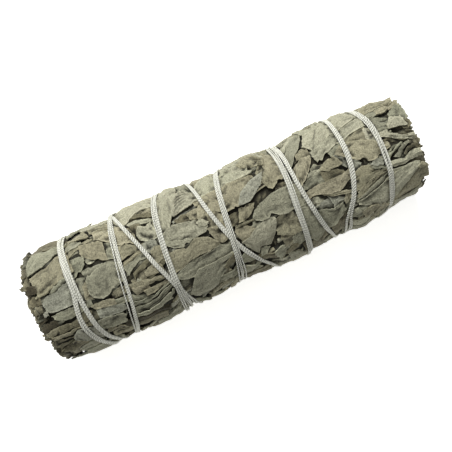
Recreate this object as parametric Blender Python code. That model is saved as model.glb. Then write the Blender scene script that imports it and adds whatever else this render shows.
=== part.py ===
"""Sage smudge stick: dried leafy sage stems packed into a round bundle and bound by one cotton thread.

X runs along the stick, +X towards the rounder tip end. Z is up, and the surface it lies on is z = 0.
A place on the bundle is given by its station along the axis, its turn round the axis (0 on top, 90 on
the -Y side, in degrees) and its radius from the axis. Lengths are in metres unless a name ends in _MM.
"""

import math

import bmesh
import bpy
import numpy as np
from mathutils import Vector

MM = 0.001

# Bundle
CORE_BUTT = -0.0496
CORE_TIP = 0.0500
SHIFT_X = -0.0005
ENVELOPE_MM = (
    (-53.2, 8.0),
    (-52.6, 12.0),
    (-51.5, 14.2),
    (-49.5, 15.3),
    (-46.0, 15.6),
    (-30.0, 15.65),
    (-16.0, 15.35),
    (-8.0, 15.0),
    (0.0, 14.6),
    (9.0, 14.9),
    (18.0, 14.5),
    (28.0, 14.8),
    (38.0, 14.6),
    (44.0, 14.0),
    (48.0, 13.4),
    (51.0, 12.6),
    (53.0, 10.6),
    (54.0, 8.0),
)
LEAF_LAYERS = 0.0032
FLAT_DEPTH = 0.0010
CLEARANCE = 0.0003
MERGE = 0.0000002

# Leafy stems
STEM_COUNT = 6
CORE_STATIONS = 12
CORE_ARC_POINTS = 4
WOOD_RADIUS = 0.0014
WOOD_TAPER = 0.55
WOOD_PLACE = 0.0076
WOOD_BEND = 0.0004
WOOD_BEND_TURN = 3.0
WOOD_BUTT = -0.0508
WOOD_TIP = 0.0370
WOOD_STATIONS = 8

# Leaves
BLADE = 0.00062
BLADE_SHOWN = 0.00066
SINK = 0.0005
LEAST_HOLD = 0.03
LEAF_BUTT = -0.0526
LEAF_TIP = 0.0537
UNROLL_RADIUS = 0.0142
LEAF_SEED = 3
LEAF_STATIONS = 5
LEAF_ROW_PITCH = 0.0051
LEAF_COLUMNS = 20
MOST_COVERED = 0.24
SEAM_GUARD = 4.5
MOST_PROUD = 0.0008
MOST_PROUD_NAMED = 0.0028
END_LEAF_DEPTH = 0.0022
END_LEAF_SUNK = 0.0012
END_LEAF_SEAM = 0.0004
BUTT_END_RINGS = (0.0030, 0.0046, 0.0101)
TIP_END_RINGS = (0.0032, 0.0054, 0.0077)

# Heights are kept on a grid over the bundle: its cells along the axis and round it
CELL = 0.0005
CELL_TURN = 2.0
GRID_START = -0.0560
GRID_ROWS = 225
GRID_COLUMNS = 180

# Thread
THREAD_WIDTH = 0.0016
THREAD_THICKNESS = 0.0007
THREAD_STEP = 18.0
THREAD_BACK = 1620.0
THREAD_FLOOR = 0.00015
THREAD_BITE = 0.0004
THREAD_EDGE = 0.0003
GROOVE_REACH = 0.0035
GROOVE_FLARE = 0.0002
KNOT_RADIUS = 0.0013
KNOT_SHARES = (1.05, 0.85, 0.75)
KNOT_OUT = 0.0002

# Turn in degrees and station in millimetres, out along the stick and back
THREAD_ROUTE_MM = (
    (-135.0, -36.5),
    (-90.0, -37.6),
    (0.0, -37.9),
    (37.0, -37.5),
    (90.0, -34.5),
    (270.0, -25.5),
    (292.0, -24.2),
    (357.0, -18.8),
    (398.0, -15.8),
    (450.0, -14.9),
    (630.0, -5.0),
    (652.0, -3.7),
    (702.0, -1.4),
    (743.0, 1.8),
    (783.0, 6.8),
    (810.0, 9.5),
    (990.0, 19.0),
    (1026.0, 19.7),
    (1068.0, 20.4),
    (1115.0, 22.4),
    (1150.0, 24.7),
    (1170.0, 26.0),
    (1350.0, 40.5),
    (1376.0, 41.3),
    (1404.0, 42.3),
    (1455.0, 42.1),
    (1503.0, 40.4),
    (1530.0, 39.0),
    (1710.0, 34.8),
    (1737.0, 34.3),
    (1796.0, 33.7),
    (1824.0, 32.1),
    (1848.0, 29.2),
    (1890.0, 28.2),
    (2070.0, 17.8),
    (2139.0, 18.8),
    (2171.0, 18.3),
    (2250.0, 17.7),
    (2430.0, 5.4),
    (2507.0, 1.8),
    (2537.0, 0.9),
    (2610.0, -1.5),
    (2790.0, -12.2),
    (2876.0, -14.8),
    (2912.0, -15.7),
    (2970.0, -16.5),
    (3150.0, -23.8),
    (3231.0, -26.1),
    (3255.0, -27.1),
    (3318.0, -30.8),
    (3330.0, -31.5),
    (3510.0, -38.5),
    (3595.0, -38.6),
    (3625.0, -40.7),
    (3662.0, -38.8),
    (3690.0, -36.3),
    (3825.0, -35.0),
)

# Leaves that stand out, from the middle of each blade: station mm, turn, slant across the axis,
# length mm, width mm, width of the tip as a share, ridge mm
NAMED_LEAVES = (
    (-42.6, -84.0, 12.0, 14.7, 6.2, 0.6, 0.3),
    (-38.2, -42.0, 6.0, 10.9, 5.5, 0.6, 0.3),
    (-37.4, -14.0, 12.0, 10.7, 5.5, 0.6, 0.3),
    (-39.9, 20.0, 8.0, 11.7, 5.3, 0.5, 0.4),
    (-43.3, 34.0, 18.0, 9.8, 4.6, 0.6, 0.5),
    (-43.5, -57.0, -23.0, 8.6, 4.6, 0.5, 0.3),
    (-44.0, -26.0, -2.0, 8.8, 5.1, 0.7, 0.5),
    (-43.6, 1.0, 4.0, 8.2, 5.7, 0.7, 0.3),
    (-48.3, -29.0, -12.0, 5.4, 2.0, 0.3, 0.2),
    (-45.7, 52.0, -60.0, 11.0, 3.4, 0.5, 0.7),
    (-41.2, 70.0, 15.0, 8.2, 2.6, 0.3, 0.7),
    (-30.5, -35.0, -59.0, 9.4, 4.8, 0.8, 0.2),
    (-23.7, -36.0, -20.0, 14.8, 4.0, 0.3, 0.4),
    (-31.0, -5.0, 25.0, 10.7, 6.5, 0.8, 0.4),
    (-35.3, 28.0, 30.0, 10.8, 4.0, 0.4, 0.8),
    (-18.2, -58.0, 8.0, 11.1, 4.2, 0.4, 0.3),
    (-21.9, -14.0, 9.0, 7.3, 3.4, 0.7, 0.4),
    (-22.8, 3.0, 27.0, 8.7, 3.5, 0.5, 0.5),
    (-23.6, 35.0, 28.0, 12.8, 4.2, 0.4, 0.9),
    (-11.5, -47.0, 57.0, 13.5, 5.2, 0.6, 0.3),
    (-6.4, -41.0, 19.0, 8.4, 3.8, 0.6, 0.9),
    (-8.3, -15.0, -8.0, 11.7, 4.7, 0.5, 0.3),
    (-9.2, 15.0, 9.0, 13.6, 5.5, 0.5, 0.4),
    (-5.4, 26.0, 6.0, 15.6, 4.0, 0.3, 0.6),
    (-7.0, 45.0, 27.0, 14.4, 6.0, 0.6, 0.8),
    (5.9, -24.0, -3.0, 10.7, 4.5, 0.7, 0.3),
    (7.3, -5.0, 4.0, 7.3, 3.9, 0.4, 0.4),
    (7.8, 18.0, 16.0, 10.7, 5.9, 0.9, 0.3),
    (14.5, -5.0, 16.0, 15.0, 5.5, 0.4, 0.4),
    (16.7, -34.0, 25.0, 8.9, 5.2, 0.8, 0.3),
    (23.0, -48.0, 57.0, 12.0, 3.8, 0.4, 0.5),
    (29.9, -46.0, 20.0, 9.0, 4.8, 0.8, 0.3),
    (30.4, -28.0, 23.0, 8.3, 4.0, 0.7, 0.4),
    (22.4, -16.0, 45.0, 11.7, 4.1, 0.3, 0.3),
    (20.4, 44.0, 20.0, 10.9, 6.2, 0.7, 0.2),
    (24.9, 21.0, 5.0, 13.2, 3.4, 0.3, 0.5),
    (26.6, 36.0, 11.0, 9.9, 4.4, 0.7, 0.4),
    (38.9, -17.0, -22.0, 12.2, 4.9, 0.6, 0.3),
    (39.8, 31.0, 10.0, 17.7, 4.6, 0.3, 0.5),
    (45.3, 35.0, 25.0, 9.9, 4.2, 0.5, 0.4),
    (47.1, 50.0, 30.0, 10.0, 3.6, 0.4, 0.5),
    (47.0, -9.0, -18.0, 8.2, 3.3, 0.7, 0.9),
    (47.8, -27.0, 10.0, 7.8, 4.2, 0.9, 0.3),
    (48.2, -44.0, 6.0, 8.0, 3.8, 0.8, 0.5),
    (47.8, -62.0, -18.0, 8.1, 3.2, 0.6, 0.8),
)


def clear_scene():
    """Remove every object that the file starts with."""
    for item in list(bpy.data.objects):
        bpy.data.objects.remove(item, do_unlink=True)


def new_collection(name):
    """Return a new collection linked to the scene."""
    group = bpy.data.collections.new(name)
    bpy.context.scene.collection.children.link(group)
    return group


def new_material(name, colour, roughness):
    """Return a Principled material of one colour."""
    material = bpy.data.materials.new(name)
    material.use_nodes = True
    shader = material.node_tree.nodes["Principled BSDF"]
    shader.inputs["Base Color"].default_value = (*colour, 1.0)
    shader.inputs["Roughness"].default_value = roughness
    shader.inputs["Metallic"].default_value = 0.0
    return material


def new_object(name, points, faces, group, material=None):
    """Return a mesh object in group, made from points and faces."""
    mesh = bpy.data.meshes.new(name)
    mesh.from_pydata([tuple(point) for point in points], [], [tuple(face) for face in faces])
    if material is not None:
        mesh.materials.append(material)
    piece = bpy.data.objects.new(name, mesh)
    group.objects.link(piece)
    return piece


def envelope(station):
    """Return the outer radius of the packed leaves at a station, in metres."""
    stations, radii = np.array(ENVELOPE_MM).T * MM
    return np.interp(station, stations, radii)


def core_radius(station):
    """Return the radius of the packed inside that the leaves lie on."""
    return envelope(station) - LEAF_LAYERS


def axis_height(station):
    """Return the height of the axis: it sinks as the bundle gets thinner, and stays level past the bands."""
    held = np.clip(station, -0.042, 0.042)
    return envelope(held) - FLAT_DEPTH


def place(station, turn, radius):
    """Return world points for stations, turns in degrees and radii."""
    station, turn, radius = np.broadcast_arrays(station, turn, radius)
    angle = np.radians(turn)
    across = -radius * np.sin(angle)
    height = axis_height(station) + radius * np.cos(angle)
    return np.stack([station + SHIFT_X, across, height], axis=-1)


def unplace(points):
    """Return the stations, turns and radii of world points."""
    station = points[..., 0] - SHIFT_X
    height = points[..., 2] - axis_height(station)
    turn = np.degrees(np.arctan2(-points[..., 1], height))
    return station, turn, np.hypot(points[..., 1], height)


def band_faces(rings, sides, closed_ends=True):
    """Return the faces of a loft of rings with the same number of sides."""
    faces = []
    for ring in range(rings - 1):
        for side in range(sides):
            following = (side + 1) % sides
            low = ring * sides
            high = low + sides
            faces.append((low + side, low + following, high + following, high + side))
    if closed_ends:
        faces.append(tuple(reversed(range(sides))))
        faces.append(tuple((rings - 1) * sides + side for side in range(sides)))
    return faces


def face_outward(piece):
    """Turn the faces of a closed mesh outward."""
    work = bmesh.new()
    work.from_mesh(piece.data)
    bmesh.ops.recalc_face_normals(work, faces=work.faces)
    work.to_mesh(piece.data)
    work.free()


class Heights:
    """What is already laid, cell by cell: its height, whose it is, and how high the other stems reach."""

    def __init__(self):
        self.stations = GRID_START + CELL * np.arange(GRID_ROWS)
        self.turns = CELL_TURN * np.arange(GRID_COLUMNS)
        self.top = np.repeat(core_radius(self.stations)[:, None], GRID_COLUMNS, axis=1)
        sector = 360.0 / STEM_COUNT
        past_seam = (self.turns + sector / 2) % sector
        owner_row = np.floor((self.turns + sector / 2) / sector).astype(int) % STEM_COUNT
        beyond = (self.stations < CORE_BUTT) | (self.stations > CORE_TIP)
        self.owner = np.repeat(owner_row[None, :], GRID_ROWS, axis=0)
        self.owner[beyond, :] = -1
        near_seam = (past_seam < SEAM_GUARD) | (past_seam > sector - SEAM_GUARD)
        self.others = np.repeat(self.top[None, :, :], STEM_COUNT, axis=0)
        for stem in range(STEM_COUNT):
            own = (self.owner == stem) & ~near_seam[None, :]
            self.others[stem][own] = 0.0
        self.bare = np.ones(self.top.shape, dtype=bool)
        self.core_only = True

    def cells(self, station, turn):
        """Return the row and column of each place."""
        row = np.clip(np.rint((station - GRID_START) / CELL).astype(int), 0, GRID_ROWS - 1)
        column = np.rint(np.asarray(turn) / CELL_TURN).astype(int) % GRID_COLUMNS
        return row, column

    def hold(self, station, turn, stem):
        """Return where a blade of this stem may sink into what is under it."""
        row, column = self.cells(station, turn)
        own = self.owner[row, column] == stem
        if self.core_only:
            own &= self.bare[row, column]
        return own & (self.others[stem][row, column] + CLEARANCE < self.top[row, column] - SINK)

    def lower_limit(self, station, turn, stem):
        """Return the lowest radius of a blade's under side: sunk where it may, clear of the rest."""
        row, column = self.cells(station, turn)
        top = self.top[row, column]
        return np.where(self.hold(station, turn, stem), top - SINK, top + CLEARANCE)

    def upper_limit(self, station, turn, stem):
        """Return the lowest radius of a blade's upper side: it covers what is under it."""
        row, column = self.cells(station, turn)
        return self.top[row, column] + BLADE_SHOWN

    def lay(self, station, turn, radius, stem):
        """Raise the cells round each place to its radius and give them to its stem."""
        row, column = self.cells(station, turn)
        for row_step in (-1, 0, 1):
            for column_step in (-1, 0, 1):
                rows = np.clip(row + row_step, 0, GRID_ROWS - 1)
                columns = (column + column_step) % GRID_COLUMNS
                higher = radius > self.top[rows, columns]
                self.owner[rows[higher], columns[higher]] = stem
                self.bare[rows, columns] = False
                np.maximum.at(self.top, (rows, columns), radius)
                for other in range(STEM_COUNT):
                    if other != stem:
                        np.maximum.at(self.others[other], (rows, columns), radius)


def highest_near(heights, levels, station, turn, reach, turn_reach):
    """Return the greatest level in a map of heights within reach of each place."""
    found = np.zeros(len(station))
    for step in np.arange(-reach, reach + CELL / 2, CELL):
        for turn_step in np.arange(-turn_reach, turn_reach + 1.0, CELL_TURN):
            row, column = heights.cells(station + step, turn + turn_step)
            found = np.maximum(found, levels[row, column])
    return found


def triangle_samples(count):
    """Return barycentric weights spread over a triangle, with count steps a side."""
    weights = []
    for first in range(count + 1):
        for second in range(count + 1 - first):
            weights.append((first / count, second / count, (count - first - second) / count))
    return np.array(weights)


SAMPLES = triangle_samples(8)
PUSH_SHARES = 0.9 * SAMPLES / np.sum(SAMPLES**2, axis=1, keepdims=True)


def blade_outline(width, tip, jag):
    """Return half widths along a blade: a narrow foot, a belly and a tip, cut in and out by jag."""
    along = np.linspace(0.0, 1.0, LEAF_STATIONS)
    belly = np.sin(np.pi * np.clip(along * 0.80 + 0.16, 0.0, 1.0)) ** 0.6
    belly[-1] = max(0.12, tip * 0.8)
    return 0.5 * width * belly * jag


def blade_triangles():
    """Return the triangles of a blade's upper face, two for each cell of its grid."""
    triangles = []
    for row in range(LEAF_STATIONS - 1):
        for column in range(2):
            corner = row * 3 + column
            if (row + column) % 2:
                triangles.append((corner, corner + 1, corner + 4))
                triangles.append((corner, corner + 4, corner + 3))
            else:
                triangles.append((corner, corner + 1, corner + 3))
                triangles.append((corner + 1, corner + 4, corner + 3))
    return np.array(triangles)


TRIANGLES = blade_triangles()


def blade_faces():
    """Return the faces of a closed blade: upper grid, lower grid and the rim between them."""
    size = LEAF_STATIONS * 3
    rim = [0, 1, 2]
    rim += [row * 3 + 2 for row in range(1, LEAF_STATIONS)]
    rim += [size - 2, size - 3]
    rim += [row * 3 for row in range(LEAF_STATIONS - 2, 0, -1)]
    faces = [tuple(face) for face in TRIANGLES]
    faces += [tuple(int(corner) + size for corner in reversed(face)) for face in TRIANGLES]
    for here, following in zip(rim, rim[1:] + rim[:1]):
        faces.append((following, here, here + size))
        faces.append((following, here + size, following + size))
    return faces


BLADE_FACES = blade_faces()


def blade_places(leaf, rng):
    """Return the stations and turns of a blade's grid, and how far each point is lifted."""
    station_mm, turn, slant, length_mm, width_mm, tip, ridge_mm = leaf
    jag = 1.0 + rng.uniform(-0.16, 0.16, size=(2, LEAF_STATIONS))
    along = np.linspace(-0.5, 0.5, LEAF_STATIONS) * length_mm * MM
    bend = 0.10 * length_mm * MM * rng.uniform(-1.0, 1.0)
    middle = bend * np.cos(np.linspace(-1.4, 1.4, LEAF_STATIONS))
    left = middle + blade_outline(width_mm * MM, tip, jag[0])
    right = middle - blade_outline(width_mm * MM, tip, jag[1])
    across = np.stack([left, middle, right], axis=1)
    lengthwise = np.repeat(along[:, None], 3, axis=1)
    angle = math.radians(slant)
    station = station_mm * MM + lengthwise * math.cos(angle) - across * math.sin(angle)
    round_bundle = lengthwise * math.sin(angle) + across * math.cos(angle)
    turns = turn - np.degrees(round_bundle / UNROLL_RADIUS)
    station += max(0.0, LEAF_BUTT - station.min()) - max(0.0, station.max() - LEAF_TIP)
    wave = rng.uniform(0.0, 0.12, size=(LEAF_STATIONS, 3)) * MM
    lift = wave + 0.6 * ridge_mm * MM * np.array([0.0, 1.0, 0.0])
    return station.ravel(), turns.ravel(), lift.ravel()


def inner_places(station, turn, samples):
    """Return places spread over every triangle of a blade."""
    inside_station = np.einsum("sk,tk->ts", samples, station[TRIANGLES])
    inside_turn = np.einsum("sk,tk->ts", samples, turn[TRIANGLES])
    return inside_station, inside_turn


def drape(limit, station, turn, stem):
    """Return radii that let a sheet of flat triangles lie on a limit without going below it."""
    radius = limit(station, turn, stem)
    for _ in range(60):
        points = place(station, turn, radius)[TRIANGLES]
        inside = np.einsum("sk,tkx->tsx", SAMPLES, points)
        at, around, height = unplace(inside)
        lack = np.clip(limit(at, around, stem) - height, 0.0, None)
        if lack.max() < 1e-6:
            break
        push = np.zeros(len(radius))
        for corner in range(3):
            share = lack * PUSH_SHARES[None, :, corner]
            np.maximum.at(push, TRIANGLES[:, corner], share.max(axis=1))
        radius = radius + push
    return radius


def hold_share(heights, station, turn, radius, stem):
    """Return the share of a blade's under side that lies inside its own stem."""
    points = place(station, turn, radius)[TRIANGLES]
    at, around, height = unplace(np.einsum("sk,tkx->tsx", SAMPLES, points))
    row, column = heights.cells(at, around)
    inside = heights.hold(at, around, stem) & (height < heights.top[row, column] - 0.5 * SINK)
    return inside.mean()


def best_hold(heights, station, turn):
    """Return the stem that holds a blade best and the radii of its under side, or -1 and None."""
    inside_station, inside_turn = inner_places(station, turn, SAMPLES)
    for core_only in (True, False):
        heights.core_only = core_only
        held = [heights.hold(inside_station, inside_turn, stem).mean() for stem in range(STEM_COUNT)]
        for stem in np.argsort(held)[::-1]:
            if held[stem] < LEAST_HOLD:
                break
            low = drape(heights.lower_limit, station, turn, stem)
            if hold_share(heights, station, turn, low, stem) >= LEAST_HOLD:
                return int(stem), low
    return -1, None


def lay_leaf(heights, leaf, rng, proud):
    """Lay one leaf on the stem that holds it best, unless it would stand over proud outside the bundle.

    Returns its points and that stem, or None and -1.
    """
    station, turn, lift = blade_places(leaf, rng)
    stem, low = best_hold(heights, station, turn)
    if stem < 0:
        return None, -1
    high = np.maximum(drape(heights.upper_limit, station, turn, stem), low + BLADE) + lift
    if np.max(high - envelope(station)) > proud:
        return None, -1
    upper = place(station, turn, high)
    lower = place(station, turn, low)
    at, around, height = unplace(np.einsum("sk,tkx->tsx", triangle_samples(12), upper[TRIANGLES]))
    heights.lay(at.ravel(), around.ravel(), height.ravel(), stem)
    return np.concatenate([upper, lower]), stem


def candidate_leaves(rng):
    """Return leaves on a jittered grid over the whole bundle, from the tip back to the butt."""
    leaves = []
    rows = int((CORE_TIP - CORE_BUTT) / LEAF_ROW_PITCH) + 1
    for row in range(rows):
        for column in range(LEAF_COLUMNS):
            station = CORE_TIP - 0.001 - row * LEAF_ROW_PITCH + rng.uniform(-0.002, 0.002)
            turn = (column + 0.5 * (row % 2)) * 360.0 / LEAF_COLUMNS + rng.uniform(-8.0, 8.0)
            slant = rng.normal(16.0, 13.0)
            length = rng.uniform(13.0, 20.0)
            width = rng.uniform(6.0, 9.0)
            tip = rng.uniform(0.2, 0.9)
            ridge = rng.uniform(0.0, 0.5)
            leaves.append((station / MM, turn, slant, length, width, tip, ridge))
    return leaves


def footprint(heights, leaf):
    """Return the rows and columns of the cells that a leaf of this length and width covers."""
    station_mm, turn, slant, length_mm, width_mm = leaf[:5]
    along, across = np.meshgrid(np.linspace(-0.5, 0.5, 25), np.linspace(-0.4, 0.4, 13))
    along = along * length_mm * MM
    across = across * width_mm * MM
    angle = math.radians(slant)
    station = station_mm * MM + along * math.cos(angle) - across * math.sin(angle)
    arc = along * math.sin(angle) + across * math.cos(angle)
    return heights.cells(station, turn - np.degrees(arc / UNROLL_RADIUS))


def fitting_leaves(heights, rng):
    """Return the candidates that fill what the named leaves and each other leave bare."""
    covered = np.zeros(heights.top.shape, dtype=bool)
    for leaf in NAMED_LEAVES:
        covered[footprint(heights, leaf)] = True
    chosen = []
    for leaf in candidate_leaves(rng):
        cells = footprint(heights, leaf)
        if covered[cells].mean() < MOST_COVERED:
            covered[cells] = True
            chosen.append(leaf)
    return chosen


def all_leaves(heights):
    """Lay the named leaves and then the seeded ones; return the blades of each leafy stem."""
    rng = np.random.default_rng(LEAF_SEED)
    blades = [[] for _ in range(STEM_COUNT)]
    named = sorted(NAMED_LEAVES, key=lambda leaf: -leaf[0])
    for leaves, proud in ((named, MOST_PROUD_NAMED), (fitting_leaves(heights, rng), MOST_PROUD)):
        for leaf in leaves:
            points, stem = lay_leaf(heights, leaf, rng, proud)
            if stem >= 0:
                blades[stem].append(points)
    return blades


def core_solid(index, group, material):
    """Return one core: a sector of the packed inside, lofted along the axis, clear of its neighbours."""
    half = 180.0 / STEM_COUNT
    middle = index * 2 * half
    stations = np.linspace(CORE_BUTT, CORE_TIP, CORE_STATIONS)
    rings = []
    for station in stations:
        radius = float(core_radius(station))
        seam = math.degrees(CLEARANCE / 2 / radius)
        turns = np.linspace(middle - half + seam, middle + half - seam, CORE_ARC_POINTS)
        apex = CLEARANCE / 2 / math.sin(math.radians(half))
        turns = np.concatenate([[middle], turns])
        radii = np.concatenate([[apex], np.full(CORE_ARC_POINTS, radius)])
        rings.append(place(station, turns, radii))
    points = np.concatenate(rings)
    sides = CORE_ARC_POINTS + 1
    core = new_object(f"leafy_stem_{index + 1}", points, band_faces(len(rings), sides), group, material)
    face_outward(core)
    return core


def strip_faces():
    """Return the faces of an end leaf: its sides, and its two ends as three cells each."""
    faces = band_faces(2, 8, closed_ends=False)
    for cell in range(3):
        faces.append((7 - cell, 6 - cell, cell + 1, cell))
        faces.append((8 + cell, 9 + cell, 14 - cell, 15 - cell))
    return faces


def end_leaf(index, at_tip, radius, rng):
    """Return the points of one cut leaf that stands out of an end face: a bowed strip along X."""
    face = CORE_TIP if at_tip else CORE_BUTT
    room = radius * math.sin(math.pi / STEM_COUNT) - END_LEAF_SEAM
    span = 2.0 * room * rng.uniform(0.65, 0.85)
    bow = rng.uniform(0.0003, 0.0007) * rng.choice((-1.0, 1.0))
    steps = np.linspace(-0.5, 0.5, 4)
    sideways = steps * span
    outwards = radius + bow * (1.0 - (2.0 * steps) ** 2)
    turns = index * 360.0 / STEM_COUNT + np.degrees(np.arctan2(sideways, outwards))
    radii = np.hypot(sideways, outwards)
    inner = place(face, turns, radii - BLADE / 2)
    outer = place(face, turns, radii + BLADE / 2)
    ring = np.concatenate([inner, outer[::-1]])
    outward = 1.0 if at_tip else -1.0
    proud = END_LEAF_DEPTH * rng.uniform(0.5, 1.0, size=4)
    sunk = ring.copy()
    sunk[:, 0] -= outward * END_LEAF_SUNK
    out = ring.copy()
    out[:, 0] += outward * np.concatenate([proud, proud[::-1]])
    return np.concatenate([sunk, out])


def apply_modifiers(piece):
    """Replace a mesh by its evaluated shape and drop its modifiers."""
    graph = bpy.context.evaluated_depsgraph_get()
    shape = bpy.data.meshes.new_from_object(piece.evaluated_get(graph))
    piece.modifiers.clear()
    piece.data = shape


def boolean(piece, operation, group=None, cutter=None, solver="EXACT"):
    """Add a Boolean modifier to piece, from a collection or an object, and apply it."""
    change = piece.modifiers.new(operation.lower(), "BOOLEAN")
    change.operation = operation
    change.solver = solver
    if group is not None:
        change.operand_type = "COLLECTION"
        change.collection = group
    else:
        change.object = cutter
    apply_modifiers(piece)


def drop_scraps(piece):
    """Keep only the largest connected part of a mesh."""
    work = bmesh.new()
    work.from_mesh(piece.data)
    unseen = set(work.verts)
    parts = []
    while unseen:
        stack = [unseen.pop()]
        part = [stack[0]]
        while stack:
            vertex = stack.pop()
            for edge in vertex.link_edges:
                other = edge.other_vert(vertex)
                if other in unseen:
                    unseen.discard(other)
                    stack.append(other)
                    part.append(other)
        parts.append(part)
    parts.sort(key=len)
    for part in parts[:-1]:
        bmesh.ops.delete(work, geom=part, context="VERTS")
    work.to_mesh(piece.data)
    work.free()


def tidy_mesh(piece):
    """Merge the points and slivers that a row of Booleans leaves closer than they can be told apart."""
    work = bmesh.new()
    work.from_mesh(piece.data)
    bmesh.ops.triangulate(work, faces=work.faces)
    bmesh.ops.dissolve_degenerate(work, dist=MERGE, edges=work.edges)
    bmesh.ops.remove_doubles(work, verts=work.verts, dist=MERGE)
    work.to_mesh(piece.data)
    work.free()


def remove_group(group):
    """Remove a collection and the objects in it."""
    for item in list(group.objects):
        bpy.data.objects.remove(item, do_unlink=True)
    bpy.data.collections.remove(group)


def leafy_stem(index, blades, rng, parts, material):
    """Return one leafy stem's leaves: its core with every blade and end leaf joined to it."""
    core = core_solid(index, parts, material)
    repeats = new_collection(f"blades_{index + 1}")
    for number, points in enumerate(blades):
        blade = new_object(f"blade_{index}_{number}", points, BLADE_FACES, repeats)
        face_outward(blade)
    for at_tip, rings in ((False, BUTT_END_RINGS), (True, TIP_END_RINGS)):
        for number, ring in enumerate(rings):
            points = end_leaf(index, at_tip, ring + rng.uniform(-0.0002, 0.0002), rng)
            strip = new_object(f"end_{index}_{at_tip}_{number}", points, strip_faces(), repeats)
            face_outward(strip)
    boolean(core, "UNION", group=repeats, solver="MANIFOLD")
    remove_group(repeats)
    return core


def wood_path(index, rng):
    """Return points along a woody stem: inside its core, bending a little."""
    turn = index * 360.0 / STEM_COUNT
    stations = np.linspace(WOOD_BUTT, WOOD_TIP, WOOD_STATIONS)
    turns = turn + rng.uniform(-WOOD_BEND_TURN, WOOD_BEND_TURN, WOOD_STATIONS)
    radii = WOOD_PLACE + rng.uniform(-WOOD_BEND, WOOD_BEND, WOOD_STATIONS)
    return place(stations, turns, radii)


def wood_solid(name, points, extra, group, material=None):
    """Return a tapering round stem along points, as a mesh, thicker by extra all round."""
    curve = bpy.data.curves.new(name, "CURVE")
    curve.dimensions = "3D"
    curve.bevel_depth = WOOD_RADIUS
    curve.bevel_resolution = 2
    curve.use_fill_caps = True
    spline = curve.splines.new("POLY")
    spline.points.add(len(points) - 1)
    for number, point in enumerate(points):
        share = number / (len(points) - 1)
        taper = 1.0 + (WOOD_TAPER - 1.0) * share
        spline.points[number].co = (*point, 1.0)
        spline.points[number].radius = taper + extra / WOOD_RADIUS
    path = bpy.data.objects.new(name, curve)
    group.objects.link(path)
    graph = bpy.context.evaluated_depsgraph_get()
    mesh = bpy.data.meshes.new_from_object(path.evaluated_get(graph))
    bpy.data.objects.remove(path, do_unlink=True)
    work = bmesh.new()
    work.from_mesh(mesh)
    bmesh.ops.remove_doubles(work, verts=work.verts, dist=1e-6)
    work.to_mesh(mesh)
    work.free()
    if material is not None:
        mesh.materials.append(material)
    solid = bpy.data.objects.new(name, mesh)
    group.objects.link(solid)
    face_outward(solid)
    return solid


def pull_pass(heights, over, stations, turns, bite, lift):
    """Return the radii of one pass of the thread, pulled into the leaves and over an earlier pass.

    bite is how far its middle may sink below the bundle's outside, and lift how far it keeps above the
    surface that the stick lies on.
    """
    half = THREAD_THICKNESS / 2
    reach = THREAD_WIDTH / 2 + CLEARANCE
    turn_reach = THREAD_STEP / 2 + CELL_TURN
    leaves = highest_near(heights, heights.top, stations, turns, reach, turn_reach) + CLEARANCE + half
    earlier = highest_near(heights, over, stations, turns, reach, turn_reach) + CLEARANCE + half
    rest = np.maximum(np.minimum(leaves, envelope(stations) - bite), earlier)
    radii = tauten(rest)
    down = -np.cos(np.radians(turns))
    allowed = (axis_height(stations) - THREAD_FLOOR - half - lift) / np.maximum(down, 0.5)
    return np.where(down > 0.5, np.minimum(radii, allowed), radii)


def mark_pass(heights, over, stations, turns, radii):
    """Write the outer side of one pass of the thread into a map of heights."""
    count = len(stations)
    fine = np.linspace(0.0, count - 1.0, 14 * count)
    middle = np.interp(fine, np.arange(count), radii) + THREAD_THICKNESS / 2
    around = np.interp(fine, np.arange(count), turns)
    for side in np.linspace(-0.5, 0.5, 5) * THREAD_WIDTH:
        line = np.interp(fine, np.arange(count), stations) + side
        row, column = heights.cells(line, around)
        np.maximum.at(over, (row, column), middle)


def thread_places(heights):
    """Return the stations, turns and radii of the thread's middle, and where it turns back."""
    route = np.array(THREAD_ROUTE_MM)
    turns = np.arange(route[0, 0], route[-1, 0] + 0.1, THREAD_STEP)
    stations = smooth_route(route[:, 0], route[:, 1] * MM, turns)
    back = int(np.searchsorted(turns, THREAD_BACK)) + 1
    over = np.zeros(heights.top.shape)
    under_lift = THREAD_THICKNESS + CLEARANCE
    out = pull_pass(heights, over, stations[:back], turns[:back], THREAD_BITE, under_lift)
    mark_pass(heights, over, stations[:back], turns[:back], out)
    home = pull_pass(heights, over, stations[back:], turns[back:], 0.0, 0.0)
    return stations, turns, np.concatenate([out, home]), back


def smooth_route(turns, stations, wanted):
    """Return stations at the wanted turns: a curve through the route's points without overshoot."""
    slope = np.gradient(stations, turns)
    index = np.clip(np.searchsorted(turns, wanted, side="right") - 1, 0, len(turns) - 2)
    width = turns[index + 1] - turns[index]
    share = (wanted - turns[index]) / width
    rise = stations[index + 1] - stations[index]
    limit = 2.0 * np.abs(rise)
    start = np.clip(slope[index] * width, -limit, limit)
    end = np.clip(slope[index + 1] * width, -limit, limit)
    square, cube = share**2, share**3
    return (
        stations[index] * (2 * cube - 3 * square + 1)
        + stations[index + 1] * (3 * square - 2 * cube)
        + start * (cube - 2 * square + share)
        + end * (cube - square)
    )


def tauten(rest):
    """Return radii of a pulled thread that may not go below rest: straight between high places."""
    radii = rest.copy()
    chord = math.cos(math.radians(THREAD_STEP))
    for _ in range(400):
        between = 0.5 * (radii[:-2] + radii[2:]) * chord
        radii[1:-1] = np.maximum(rest[1:-1], between)
    return radii


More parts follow.
